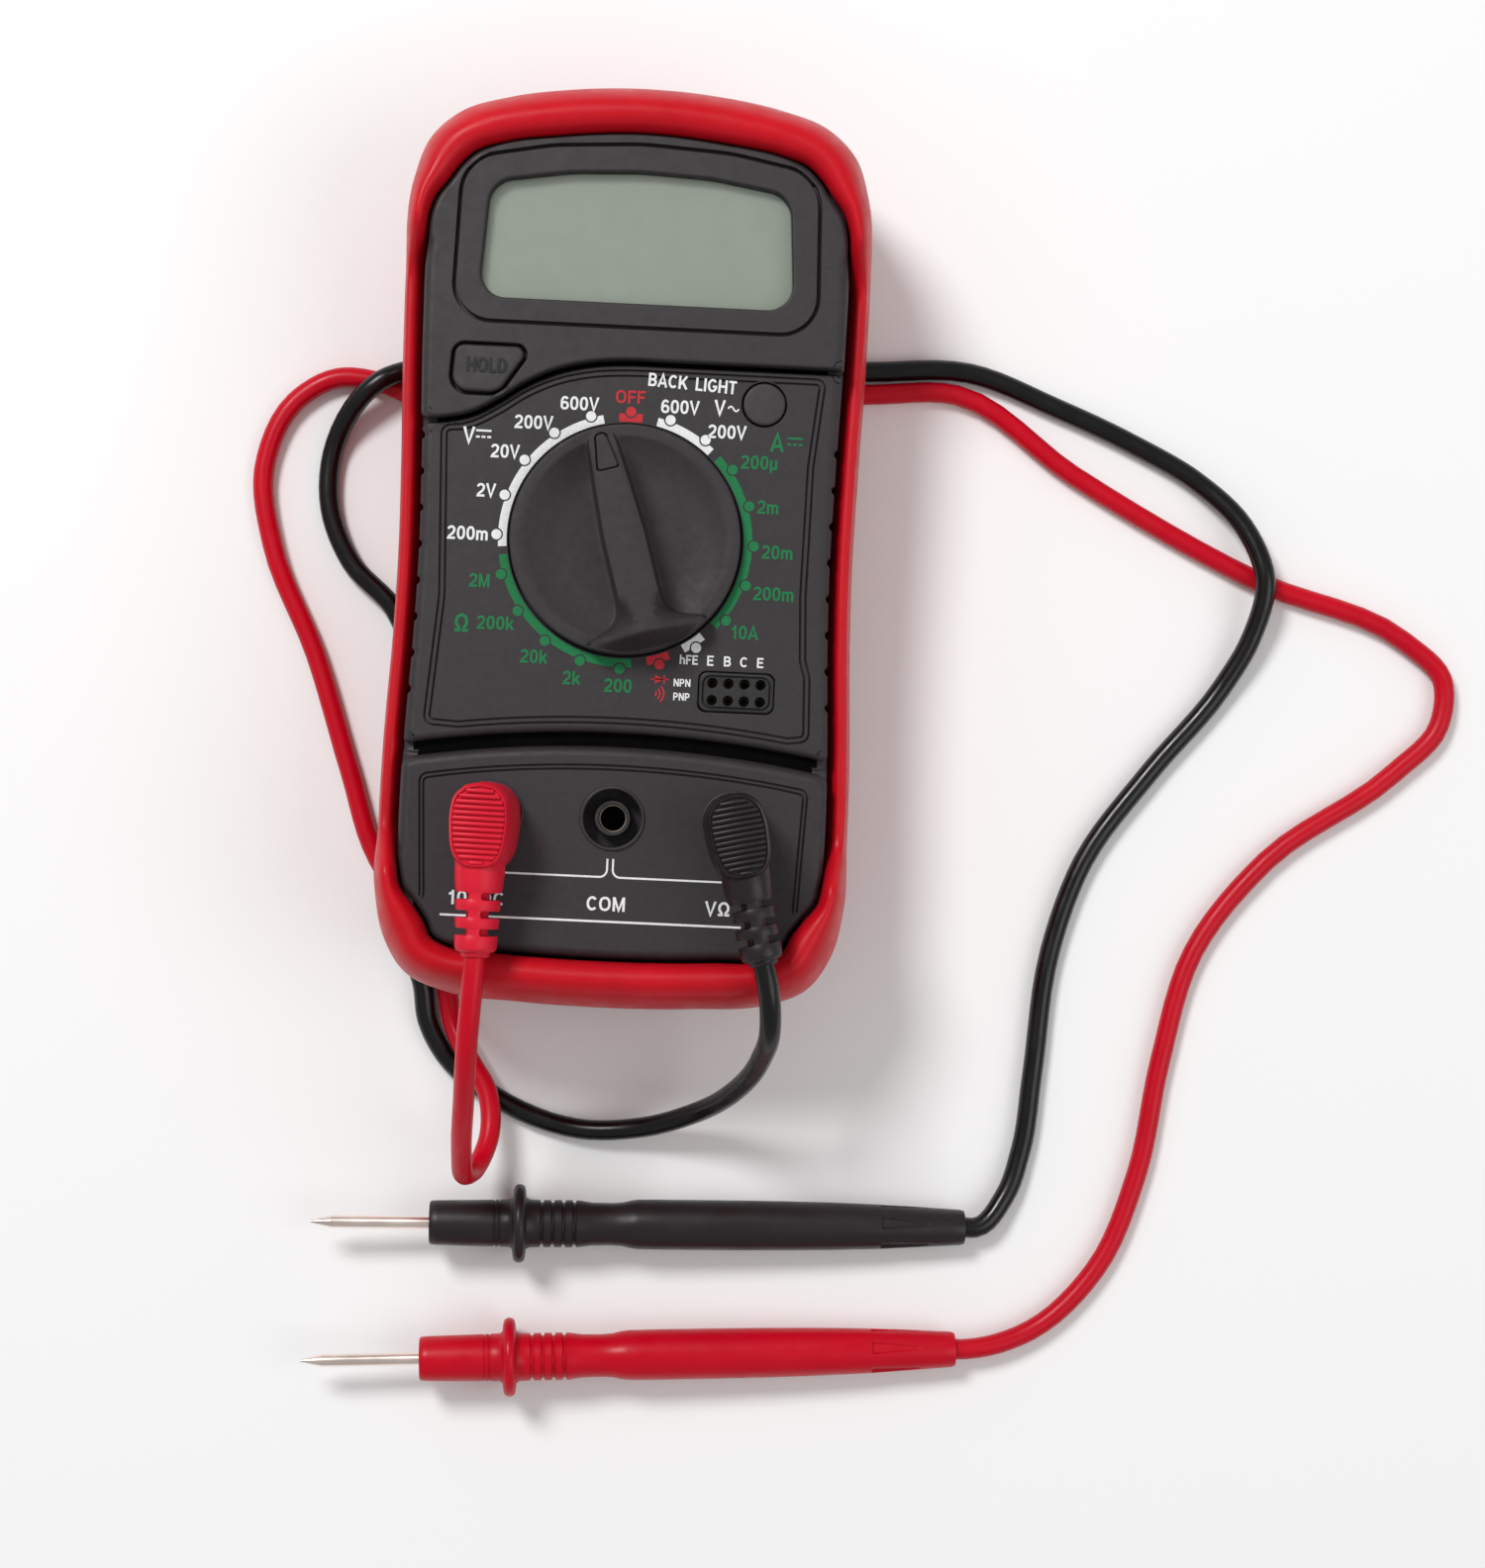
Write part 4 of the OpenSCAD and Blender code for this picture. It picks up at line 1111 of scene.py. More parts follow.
# Half width of the ridge along it, from the flare at its foot to its tip
RIDGE_WIDTH = [
    (-18, 9.8), (-15, 9.4), (-14.5, 8.8), (-14.1, 7.8), (-13.8, 6.8), (-13.4, 5.7), (-12.8, 4.7), (-12, 3.95),
    (-11, 3.4), (-10, 3.17), (-9, 3.1), (0, 3.1), (8, 2.6), (14.5, 2.1), (15.8, 1.85), (16.6, 1.4),
    (17.0, 0.95), (17.3, 0.4),
]
DISH_R = 16.3
DISH_DEPTH = 1.6
DISH_RUN = 6.5       # how far in from its edge the dish reaches its depth
RIDGE_WALL = 0.9     # width of the coved wall on both sides of the ridge


def knob_height(u, v):
    """Height of the knob's top, for u along its ridge and v across it."""
    r = math.hypot(u, v)
    dish = DISC_TOP - DISH_DEPTH * (1 - (1 - min(1.0, max(0.0, (DISH_R - r) / DISH_RUN))) ** 2)
    half = between(RIDGE_WIDTH, u)
    tip = 1 - smooth(u, 17.0, 17.5)
    foot = smooth(u, -17.7, -15.2)
    crown = mix(DISC_TOP + 0.05, KNOB_TOP, tip * foot)
    # The ridge is all but flat across, and its foot slopes down to the flare's edge
    flare = smooth(-u, 9.2, 13.0)
    spread = max(0.0, abs(v) - 1.9) / max(0.3, half - 1.9)
    fall = mix(0.22, max(0.0, crown - dish - 1.9), flare)
    top = crown - fall * min(1.0, spread) ** mix(2.0, 0.9, flare)
    wall = min(1.0, max(0.0, (abs(v) - half) / RIDGE_WALL))
    cove = 1 - math.sqrt(max(0.0, 1 - (1 - wall) ** 2.6))
    return mix(dish, max(top, dish), cove if wall > 0 else 1.0)


def knob_row(u, chord):
    """Places across the knob at u, from rim to rim: close together on the ridge's walls."""
    half = min(between(RIDGE_WIDTH, u), 0.78 * chord)
    wall = min(RIDGE_WALL, 0.16 * chord)
    out = [mix(chord, half + wall, (k / 25) ** 0.8) for k in range(25)]
    out += [half + wall * (1 - k / 8) ** 1.6 for k in range(8)]
    out += [half * (1 - k / 6) for k in range(6)]
    return [-v for v in out] + [0.0] + out[::-1]


def selector_knob():
    """The knob as a height field over a disc, its skirt, and its hub."""
    shape = Shape()
    rim = KNOB_R - KNOB_EDGE
    rows = [rim * math.sin(a) for a in steps_between(-1.52, 1.52, 110)]
    rows = sorted(rows + steps_between(16.6, 17.6, 13))
    grid = []
    for u in rows:
        chord = math.sqrt(rim * rim - u * u)
        grid.append([(v, u, knob_height(u, v)) for v in knob_row(u, chord)])
    made = shape.rings(grid, is_closed=False)
    border = made[0] + [row[-1] for row in made[1:-1]] + made[-1][::-1] + [row[0] for row in made[-2:0:-1]]
    below = [border]
    for reach, drop in ((0.3, 0.06), (0.41, 0.2), (KNOB_EDGE, 0.45)):
        ring = []
        for i in border:
            p = Vector(shape.verts[i])
            flat = Vector((p.x, p.y, 0)).normalized()
            ring.append(Vector((p.x, p.y, p.z - drop)) + flat * (reach + rim - math.hypot(p.x, p.y)))
        below.append(shape.ring(ring))
    below.append(shape.ring([(*shape.verts[i][:2], KNOB_UNDER) for i in below[-1]]))
    for a, b in zip(below, below[1:]):
        shape.bridge(a, b)
    shape.fan(below[-1])
    knob = piece("dial_knob", shape, "knob_plastic", "selector", replaces=["selector_knob"], crease=48)
    cut_pointer(knob)
    knob.data.transform(Matrix.Rotation(math.radians(KNOB_TURN), 4, "Z"))
    hub = Shape()
    hub.lathe([(0, 29), (HUB_R, 29), (HUB_R, KNOB_UNDER + 0.1), (0, KNOB_UNDER + 0.1)], 48)
    piece("knob_hub", hub, "knob_plastic", "selector")


def cut_pointer(knob):
    """Sinks the pointer's rounded inset into the end of the ridge."""
    outline = rounded([(-1.9, 10.4, 0.5), (1.9, 10.4, 0.5), (0.95, 16.3, 0.9), (-0.95, 16.3, 0.9)])
    floor = KNOB_TOP - 0.9
    shape = Shape()
    shape.tube([[(*p, z) for p in outline] for z in (floor, KNOB_TOP + 1)])
    cutter = piece("pointer_cutter", shape, "knob_plastic", "selector")
    cutter.parent = None
    cut = knob.modifiers.new("pointer", "BOOLEAN")
    cut.operation = "DIFFERENCE"
    cut.solver = "EXACT"
    cut.object = cutter
    seen = bpy.context.evaluated_depsgraph_get()
    carved = bpy.data.meshes.new_from_object(knob.evaluated_get(seen))
    knob.modifiers.clear()
    knob.data = carved
    bpy.data.objects.remove(cutter)
    filling = Shape()
    face = rounded([(-1.62, 10.65, 0.4), (1.62, 10.65, 0.4), (0.72, 16.05, 0.68), (-0.72, 16.05, 0.68)])
    plate(filling, face, floor - 0.2, KNOB_TOP - 0.12, 0.12)
    inlay = piece("pointer_inlay", filling, "knob_plastic", "selector")
    inlay.data.transform(Matrix.Rotation(math.radians(KNOB_TURN), 4, "Z"))


def arc(x, y, rx, ry, start, end, count):
    turns = [math.radians(degrees) for degrees in steps_between(start, end, count)]
    return [(x + rx * math.cos(a), y + ry * math.sin(a)) for a in turns]


def oval(x, y, rx, ry):
    """A tall oval with flattish sides, as in a grotesque's 0 and O."""
    out = []
    for a in full_turn(36):
        c, d = math.cos(a), math.sin(a)
        out.append((x + rx * math.copysign(abs(c) ** 0.8, c), y + ry * math.copysign(abs(d) ** 0.9, d)))
    return out


# The pen's width, and the height of its middle on the base line, at the top and at a small letter's top
PEN = 0.17
LOW, TOP, X_TOP = PEN / 2, 1 - PEN / 2, 0.73 - PEN / 2
MIDDLE = TOP - 0.5


def post(x, low=0.0, high=1.0):
    return [(x, low), (x, high)]


def beam(y, end):
    """A level stroke to the right of the stem."""
    return [(PEN, y), (end, y)]


def bowl(x, y, rx, ry, top, end, count=8):
    """The round stroke that leaves a stem at one height and comes back to it at another."""
    return [(PEN, top), (x, top)] + arc(x, y, rx, ry, 80, -80, count) + [(PEN, end)]


def hook(x, rx, r, count):
    """The shoulder and the right leg of an h or an m."""
    return arc(x, X_TOP - r, rx, r, 160, 0, count) + [(x + rx, 0)]


# Plain grotesque letters, as width, open strokes and closed strokes. A capital is 1 high.
STEM = post(LOW)
GLYPHS = {
    "0": (0.56, [], [oval(0.28, 0.5, 0.2, MIDDLE)]),
    "1": (0.42, [post(0.27), [(0.04, 0.72), (0.14, 0.75), (0.22, 0.84)]], []),
    "2": (0.56, [
        arc(0.28, 0.7, 0.2, TOP - 0.7, 170, -15, 12) + [(0.4, 0.46), (0.13, 0.2), (0.09, LOW), (0.54, LOW)],
    ], []),
    "6": (0.56, [arc(0.3, 0.56, 0.21, TOP - 0.56, 40, 180, 12) + [(0.085, 0.36)]],
          [oval(0.29, 0.315, 0.2, 0.23)]),
    "A": (0.64, [[(0.04, 0), (0.32, 0.96), (0.6, 0)], [(0.16, 0.3), (0.48, 0.3)]], []),
    "B": (0.6, [
        STEM, bowl(0.32, 0.72, 0.17, TOP - 0.72, TOP, 0.525), bowl(0.34, 0.3, 0.18, 0.215, 0.51, LOW),
    ], []),
    "C": (0.64, [arc(0.34, 0.5, 0.255, MIDDLE, 42, 318, 22)], []),
    "D": (0.64, [STEM, bowl(0.28, 0.5, 0.27, MIDDLE, TOP, LOW, 12)], []),
    "E": (0.54, [STEM, beam(TOP, 0.53), beam(0.52, 0.49), beam(LOW, 0.54)], []),
    "F": (0.52, [STEM, beam(TOP, 0.52), beam(0.49, 0.46)], []),
    "G": (0.68, [arc(0.35, 0.5, 0.265, MIDDLE, 42, 335, 22) + [(0.6, 0.43), (0.37, 0.43)]], []),
    "H": (0.64, [STEM, post(0.555), beam(0.5, 0.47)], []),
    "I": (0.17, [STEM], []),
    "K": (0.62, [STEM, [(0.12, 0.34), (0.56, 0.99)], [(0.27, 0.56), (0.59, 0.01)]], []),
    "L": (0.5, [STEM, beam(LOW, 0.5)], []),
    "M": (0.74, [STEM, post(0.655), [(0.1, 0.97), (0.37, 0.07), (0.64, 0.97)]], []),
    "N": (0.64, [STEM, post(0.555), [(0.1, 0.96), (0.54, 0.04)]], []),
    "O": (0.7, [], [oval(0.35, 0.5, 0.265, MIDDLE)]),
    "P": (0.58, [STEM, bowl(0.32, 0.68, 0.17, TOP - 0.68, TOP, 0.45)], []),
    "T": (0.56, [[(0, TOP), (0.56, TOP)], post(0.28, 0, TOP - LOW)], []),
    "V": (0.62, [[(0.04, 1), (0.31, 0.04), (0.58, 1)]], []),
    "h": (0.52, [STEM, hook(0.26, 0.175, 0.18, 10)], []),
    "k": (0.52, [STEM, [(0.12, 0.24), (0.46, 0.72)], [(0.24, 0.42), (0.49, 0.01)]], []),
    "m": (0.8, [post(LOW, 0, 0.72), hook(0.24, 0.155, 0.15, 8), hook(0.55, 0.155, 0.15, 8)], []),
    "µ": (0.5, [
        post(LOW, -0.22, 0.72), post(0.415, 0, 0.72), arc(0.25, 0.24, 0.165, 0.155, 195, 345, 8),
    ], []),
    "Ω": (0.74, [
        [(0.04, LOW), (0.26, LOW), (0.26, 0.16)] + arc(0.37, 0.56, 0.26, TOP - 0.56, 236, -56, 22)
        + [(0.48, 0.16), (0.48, LOW), (0.7, LOW)],
    ], []),
    " ": (0.42, [], []),
}


def strip(shape, left, right, low, high, is_closed=False):
    """A raised band between two lines."""
    made = shape.rings([
        [(*p, z) for p in line] for line, z in ((left, low), (left, high), (right, high), (right, low))
    ], is_closed)
    shape.bridge(made[-1], made[0], is_closed)
    if not is_closed:
        for end in (0, -1):
            shape.faces.append(tuple(ring[end] for ring in made))


def pen_stroke(shape, points, width, low, high, is_closed=False):
    """A raised line through points, square at its ends."""
    line = [Vector(p) for p in points]
    if is_closed:
        line = turned(line)
        normals = left_normals(line)
    else:
        normals = left_normals([line[0] * 2 - line[1]] + line + [line[-1] * 2 - line[-2]])[1:-1]
    left = [p + n * width / 2 for p, n in zip(line, normals)]
    right = [p - n * width / 2 for p, n in zip(line, normals)]
    strip(shape, left, right, low, high, is_closed)


LETTER_GAP = 0.09
PRINT = 0.035        # thickness of the ink
SUNK = 0.02          # how far print reaches into what it is on


def letters(text, x, y, cap, z, turn=0.0, thick=PRINT, wide=1.0, bold=1.0):
    """Letters centred at a place on a face at height z. cap is a capital's height."""
    shape = Shape()
    length = sum(GLYPHS[c][0] for c in text) + LETTER_GAP * (len(text) - 1)
    at = -length / 2
    for c in text:
        advance, opened, closed = GLYPHS[c]
        for k, points in enumerate(opened + closed):
            moved = [((at + u) * wide * cap, (v - 0.5) * cap) for u, v in points]
            # Each stroke is a little higher than the last, so that no two tops are in one plane
            pen_stroke(shape, moved, PEN * bold * cap, -SUNK, thick + 0.003 * k, k >= len(opened))
        at += advance + LETTER_GAP
    return Shape().add(shape, Matrix.Translation((x, y, z)) @ Matrix.Rotation(math.radians(turn), 4, "Z"))


def buttons():
    """The two buttons' caps, with the raised word on one of them."""
    hold = Shape()
    plate(hold, inset(HOLD_LOOP, 0.08), HOUSING_Z - 3, HOUSING_Z + 0.7, 0.5)
    plate(hold, inset(HOLD_LOOP, -0.7), HOUSING_Z - 3.2, HOUSING_Z - 2.55, 0.05)
    piece("hold_cap", hold, "button_rubber", "hold", replaces=["hold_button"])
    # The word is darker than its cap: painted shade for the raised letters
    word = letters("HOLD", -22.9, 26.3, 2.3, HOUSING_Z + 0.7, thick=0.14, bold=1.15)
    piece("hold_word", word, "letter_black", "hold", crease=20)
    light = Shape()
    profile = [(0.9, -2.8), (0.9, -2.25), (0, -2.1), (0, 0.2), (-0.06, 0.36), (-0.2, 0.45), (-0.45, 0.48)]
    outside = [(LIGHT_R + r, FACE_Z + z) for r, z in profile]
    top = outside[-1][1]
    light.lathe([(0, outside[0][1]), *outside, (1.8, top), (0, top)], 72)
    moved = Shape().add(light, Matrix.Translation((*LIGHT_AT, 0)))
    piece("light_cap", moved, "button_rubber", "light", replaces=["light_button"])


selector_knob()
buttons()


# ---- printed scale

ARC_R = (18.75, 20.1)
DOT_R = 0.8
DOT_AT = 20.35
POSITIONS = 20
DOT_ROOM = 0.24            # clear ring round a dot
# Arcs from one position to another, and how many degrees each reaches past them
ARCS = {
    "ink_white": [(15, 19, 5.4, 5.4), (1, 2, 5.4, 5.4), (8, 8, 5.4, 5.4)],
    "ink_green": [(3, 7, 8.2, 5.4), (10, 14, 5.4, 8.8)],
    "ink_red": [(0, 0, 5.4, 5.4), (9, 9, 5.4, 5.4)],
}
SOUND_HALF = math.degrees(0.8)    # half angle of the buzzer sign's arcs
WIDE_LABELS = ("OFF", "E", "B", "C")
# The scale's labels in each ink, and the jacks': text, x, y and the height of a capital
LABELS = {
    "ink_white": [
        ("600V", -8.2, 21.3, 2.15), ("200V", -15.3, 18, 2.15), ("20V", -19.6, 13.2, 2.15),
        ("2V", -22.3, 6.9, 2.15), ("200m", -24.9, 0, 2.15), ("V", -25.4, 15.5, 2.6),
        ("600V", 7.7, 21.5, 2.15), ("200V", 15.3, 17.9, 2.15), ("V", 14.0, 21.7, 2.4),
        ("hFE", 10.9, -18.4, 1.5), ("E", 14.3, -18.4, 1.6), ("B", 17.0, -18.4, 1.6),
        ("C", 19.6, -18.4, 1.6), ("E", 22.2, -18.4, 1.6), ("NPN", 10.0, -22.1, 1.2),
        ("PNP", 10.0, -24.3, 1.2),
    ],
    "ink_green": [
        ("A", 23.3, 16.6, 2.9), ("200µ", 20.6, 13.3, 2.15), ("2m", 22.3, 6.3, 2.15),
        ("20m", 24.1, -0.8, 2.15), ("200m", 23.8, -7.4, 2.15), ("10A", 19.5, -13.7, 2.15),
        ("200", -0.1, -23, 2.15), ("2k", -7.5, -22.1, 2.15), ("20k", -13.6, -19, 2.15),
        ("200k", -19.9, -14, 2.15), ("Ω", -25.2, -14.2, 2.9), ("2M", -22.7, -7.4, 2.15),
    ],
    "ink_red": [("OFF", -0.2, 22.7, 2.05)],
}
JACK_LABELS = [("COM", -0.4, -57.5, 2.25), ("VΩ", 17.25, -57.5, 2.25), ("10ADC", -20.8, -57.5, 2.25)]


def flat_print(shape, outline, low):
    """A printed patch on a face at height low."""
    loop = turned([Vector(p) for p in outline])
    shape.tube([[(*p, z) for p in loop] for z in (low - SUNK, low + PRINT)])


def bearing(degrees, r):
    """A point at an angle clockwise from the top of the dial."""
    a = math.radians(degrees)
    return Vector((r * math.sin(a), r * math.cos(a)))


def scale_arc(shape, first, last, before, after):
    """An arc under the positions from first to last, notched round each dot."""
    pitch = 360 / POSITIONS
    start, end = first * pitch - before, last * pitch + after
    count = math.ceil((end - start) / 0.6)
    room = DOT_R + DOT_ROOM
    outer, inner = [], []
    for angle in steps_between(start, end, count):
        off = (angle + pitch / 2) % pitch - pitch / 2
        across = DOT_AT * math.sin(math.radians(off))
        r = ARC_R[1]
        if abs(across) < room:
            r = min(r, DOT_AT - math.sqrt(room * room - across * across))
        outer.append(bearing(angle, r))
        inner.append(bearing(angle, ARC_R[0]))
    strip(shape, outer, inner, FACE_Z - SUNK, FACE_Z + PRINT)
    for k in range(first, last + 1):
        flat_print(shape, circle(*bearing(k * pitch, DOT_AT), DOT_R, 28), FACE_Z)


def bar(shape, x, y, w, h):
    flat_print(shape, [(x, y), (x + w, y), (x + w, y + h), (x, y + h)], FACE_Z)


def direct_sign(shape, x, y, size):
    """The sign of direct current: a line over three dashes."""
    bar(shape, x, y + 0.32 * size, 1.5 * size, 0.2 * size)
    for k in range(3):
        bar(shape, x + 0.56 * k * size, y - 0.3 * size, 0.38 * size, 0.2 * size)


def stroke(shape, points, width, z=FACE_Z):
    """A printed line on a curve through points."""
    pen_stroke(shape, resampled(curve(points, 6), 0.4, False), width, z - SUNK, z + PRINT)


def wave_sign(shape, x, y, size):
    """The sign of alternating current."""
    points = [(x + size * t, y + 0.22 * size * math.sin(2 * math.pi * t)) for t in steps_between(0, 1, 8)]
    stroke(shape, points, 0.26)


def printed_scale():
    """The print on the case, one piece for each ink."""
    for look, arcs in ARCS.items():
        shape = Shape()
        for numbers in arcs:
            scale_arc(shape, *numbers)
        for text, x, y, cap in LABELS[look]:
            shape.add(letters(text, x, y, cap, FACE_Z, wide=1.2 if text in WIDE_LABELS else 1.09))
        if look == "ink_white":
            direct_sign(shape, -24.3, 15.6, 1.6)
            wave_sign(shape, 15.3, 21.6, 1.7)
            shape.add(letters("BACK LIGHT", 9.5, 25.3, 2.1, FACE_Z, turn=-3, wide=1.06))
            jack_print(shape)
        elif look == "ink_green":
            direct_sign(shape, 24.9, 16.7, 1.6)
        else:
            sound_signs(shape)
        piece("scale_" + look[4:], shape, look, "meter", crease=10)


def jack_print(shape):
    """The labels and the bracket lines under the jacks."""
    z = JACK_PANEL_Z
    for text, x, y, cap in JACK_LABELS:
        shape.add(letters(text, x, y, cap, z, wide=1.2))
    for s in (-1, 1):
        elbow = rounded([(s * 0.45, -50.4, 0), (s * 0.45, -53.3, 1.2), (s * 18, -53.3, 0)], False)
        pen_stroke(shape, resampled(elbow, 0.4, False), 0.3, z - SUNK, z + PRINT)
    stroke(shape, [(-26.4, -60.3), (-10, -60.3), (10, -60.3), (21, -60.3)], 0.34, z)


def sound_signs(shape):
    """A diode and the arcs of a buzzer below the red position."""
    x, y = 6.5, -21.7
    flat_print(shape, [(x - 0.8, y + 0.7), (x - 0.8, y - 0.7), (x + 0.5, y)], FACE_Z)
    bar(shape, x + 0.55, y - 0.7, 0.22, 1.4)
    bar(shape, x - 1.5, y - 0.09, 2.9, 0.18)
    for r in (0.5, 1.1, 1.7):
        stroke(shape, arc(x - 1, y - 2.3, r, r, -SOUND_HALF, SOUND_HALF, 4), 0.24)


printed_scale()


# ---- leads

CORD_D = 3.4
PLUG_Z = 43.5
PLUG_LEN = 21.6
HANDLE_LEN = 89.5
GUARD_X = 15.0
GUARD_R = 6.5
TAIL_X = HANDLE_LEN - GUARD_X
TILT = math.radians(2.43)    # a probe lies on its guard and its tail
# Each lead's jack, its plug's turn in degrees and its sideways lean for each millimetre over the panel,
# its probe's guard and heading, its length in metres, and its route from the plug to the probe
LEADS = {
    "red": {
        "side": -1, "turn": -2.5, "lean": -0.085, "guard": (-13.6, -134.4), "aim": 3.0, "length": 0.555,
        "probe_look": "red_pvc",
        "route": [
            (-20.8, -80, 41), (-21.4, -90, 33.5), (-22, -98.6, 24), (-21.8, -103.2, 16.6),
            (-20.2, -102.4, 10.8), (-18.6, -97.6, 7.6), (-19.4, -90.6, 5.6), (-22.8, -85.2, 4.4),
            (-25.8, -79.8, 2.5), (-27.4, -73, 1.9), (-30.4, -65.6, 1.7), (-35.6, -58.4, 1.7),
            (-39.8, -52.6, 1.7), (-45.2, -38, 1.7), (-51.9, -18.6, 1.7), (-60, -0.5, 1.7),
            (-62, 12, 1.7), (-57.4, 23.6, 1.7), (-50.4, 28, 1.7), (-43, 27.6, 1.7),
            (-35.4, 24.8, 1.7), (-20, 24.6, 1.7), (40, 29.6, 1.7), (54, 30.2, 1.7),
            (74.5, 17.5, 1.7), (107, 0.9, 1.7), (132, -8, 1.7), (138.6, -14, 1.7),
            (138.4, -22, 1.7), (131, -30.4, 1.7), (110, -46.2, 1.7), (98.4, -62, 1.7),
            (93.5, -81, 1.7), (90.4, -100, 1.7), (84, -116.5, 1.7), (73.5, -127, 2.2),
        ],
    },
    "black": {
        "side": 1, "turn": 14.5, "lean": 0.03, "guard": (-13, -112.1), "aim": 1.6, "length": 0.509,
        "probe_look": "black_grip",
        "route": [
            (26.2, -75.5, 40.8), (25.2, -81, 33), (21.8, -87, 21.5), (15.6, -92, 10.5),
            (7, -95.4, 4.6), (-4, -96.4, 2.2), (-18.4, -91.6, 1.7), (-27, -85, 1.7),
            (-30.2, -79.4, 1.7), (-31.4, -73, 2), (-33.8, -67, 3), (-35.8, -59, 5.4),
            (-35, -50, 3.2), (-34, -32, 1.7), (-39, -10.5, 1.7), (-46.6, -3, 1.7),
            (-50.6, 6, 1.7), (-50.2, 17, 2), (-42.8, 27.4, 5.4), (-35, 30.4, 3.2),
            (-26, 31.2, 1.9), (39, 33.4, 1.7), (56, 34, 1.7), (71, 28.8, 1.7),
            (84.7, 23.1, 1.7), (95.4, 17.4, 2.2), (103.4, 10, 4), (107.2, 0.9, 5.4),
            (105.6, -8.5, 3.6), (101, -17.5, 2), (89.6, -32.1, 1.7), (79, -47.7, 1.7),
            (74.1, -63, 1.7), (72, -84, 1.7), (70.6, -97, 1.7), (68.2, -104.6, 2.2),
        ],
    },
}


def frame_at(place, degrees):
    return Matrix.Translation(place) @ Matrix.Rotation(math.radians(degrees), 4, "Z")


def plug_frame(lead):
    """A plug's own frame: its Y axis runs against the lead, with 0 over the jack."""
    return frame_at((lead["side"] * JACK_PITCH, JACK_Y, 0), lead["turn"])


def probe_frame(lead):
    """A probe's own frame: its X axis runs from the needle to the lead, with 0 at the guard."""
    return frame_at((*lead["guard"], GUARD_R), lead["aim"]) @ Matrix.Rotation(TILT, 4, "Y")


def lead_path(lead):
    """The cord's middle line, from inside the plug's collar to the end of the handle."""
    way = (plug_frame(lead).to_3x3() @ Vector((0, -1, 0))).normalized()
    start = plug_frame(lead) @ Vector((0, -PLUG_LEN, PLUG_Z))
    back = (probe_frame(lead).to_3x3() @ Vector((1, 0, 0))).normalized()
    end = probe_frame(lead) @ Vector((TAIL_X, 0, 0))
    points = [start, start + way * 4] + [Vector(p) for p in lead["route"]] + [end + back * 2, end]
    path = curve(points, 6)
    return [Vector((p.x, p.y, max(p.z, CORD_D / 2))) for p in path]


def lead_cord(name, lead):
    """The cord as a round curve along its path."""
    path = lead_path(lead)
    data = bpy.data.curves.new(name + "_cord", "CURVE")
    data.dimensions = "3D"
    data.bevel_depth = CORD_D / 2 * MM
    data.bevel_resolution = 6
    data.use_fill_caps = True
    line = data.splines.new("POLY")
    line.points.add(len(path) - 1)
    line.use_smooth = True
    for point, p in zip(line.points, path):
        point.co = (*(p * MM), 1)
    data.materials.append(LOOKS[name + "_pvc"])
    cord = added(name + "_cord", data)
    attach(cord, "meter")
    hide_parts(name + "_lead")


# ---- plugs

PAD_TOP = 48.1
# The head from above, and how far in its side is at each height
HEAD = turned(curve(mirrored([
    (0, 4.9), (2.6, 4.3), (4.3, 2.5), (4.85, 0), (4.8, -3), (4.45, -5.6), (3.55, -7.6), (2, -8.65),
    (0, -8.95),
]), 4))
HEAD_SIDE = [
    (0.9, 35.5), (0.35, 35.7), (0.05, 36.4), (0, 40), (0.06, 44), (0.15, 46.3), (0.3, 47.2), (0.5, 47.8),
    (0.68, PAD_TOP), (0.78, PAD_TOP), (0.86, PAD_TOP - 0.1), (0.9, PAD_TOP - 0.42),
]
RIBS = 14
RIB_PITCH = 0.85
RIB_FIRST = 3.3
RIB_HALF = (0.31, 0.45)      # half width and half height of a rib
# The neck and the collar of the strain relief, as (place, radius) along the lead
NECK = [(2, 3.9), (7, 3.9), (9.5, 3.85), (11.6, 3.7)]
COLLAR = [(20.9, 3.25), (21.3, 3.1), (21.55, 2.75), (21.6, 2.3), (22.2, 2.2), (22.35, 2.0)]
RELIEF_R = 3.5
RELIEF_TAPER = 0.03
CORE_R = 1.75
SLOTS = (12.35, 15.15, 17.9)
SLOT_W = 1.15
SPINE = 0.9
# The round stem that stands in the jack's well
STEM_PROFILE = [(0, 33.2), (3.15, 33.2), (3.15, 30.5), (3.9, 30.5), (4.15, 30.9), (4.15, 36.5), (0, 36.5)]


def relief_ring(y, r, spine=None):
    """A ring round the lead's axis, cut back at both sides to the core where a spine is given."""
    out = []
    for p in circle(0, 0, r, 72):
        x = p.x
        if spine is not None:
            reach = max(spine, math.sqrt(max(0.0, CORE_R ** 2 - p.y ** 2)))
            x = max(-reach, min(reach, x))
        out.append((x, -y, PLUG_Z + p.y))
    return out


def strain_relief(shape):
    """The neck, the slotted relief and its collar."""
    rings = [relief_ring(y, r) for y, r in NECK]
    for y in SLOTS:
        r = RELIEF_R - RELIEF_TAPER * (y - SLOTS[0])
        edge, end = r - 0.06, y + SLOT_W
        rings += [relief_ring(y - 0.12, r), relief_ring(y, edge), relief_ring(y, edge, SPINE + 0.3)]
        rings += [relief_ring(y + k, edge, SPINE) for k in (0.3, SLOT_W - 0.3)]
        rings += [relief_ring(end, edge, SPINE + 0.3), relief_ring(end, edge), relief_ring(end + 0.12, r)]
    shape.tube(rings + [relief_ring(y, r) for y, r in COLLAR])


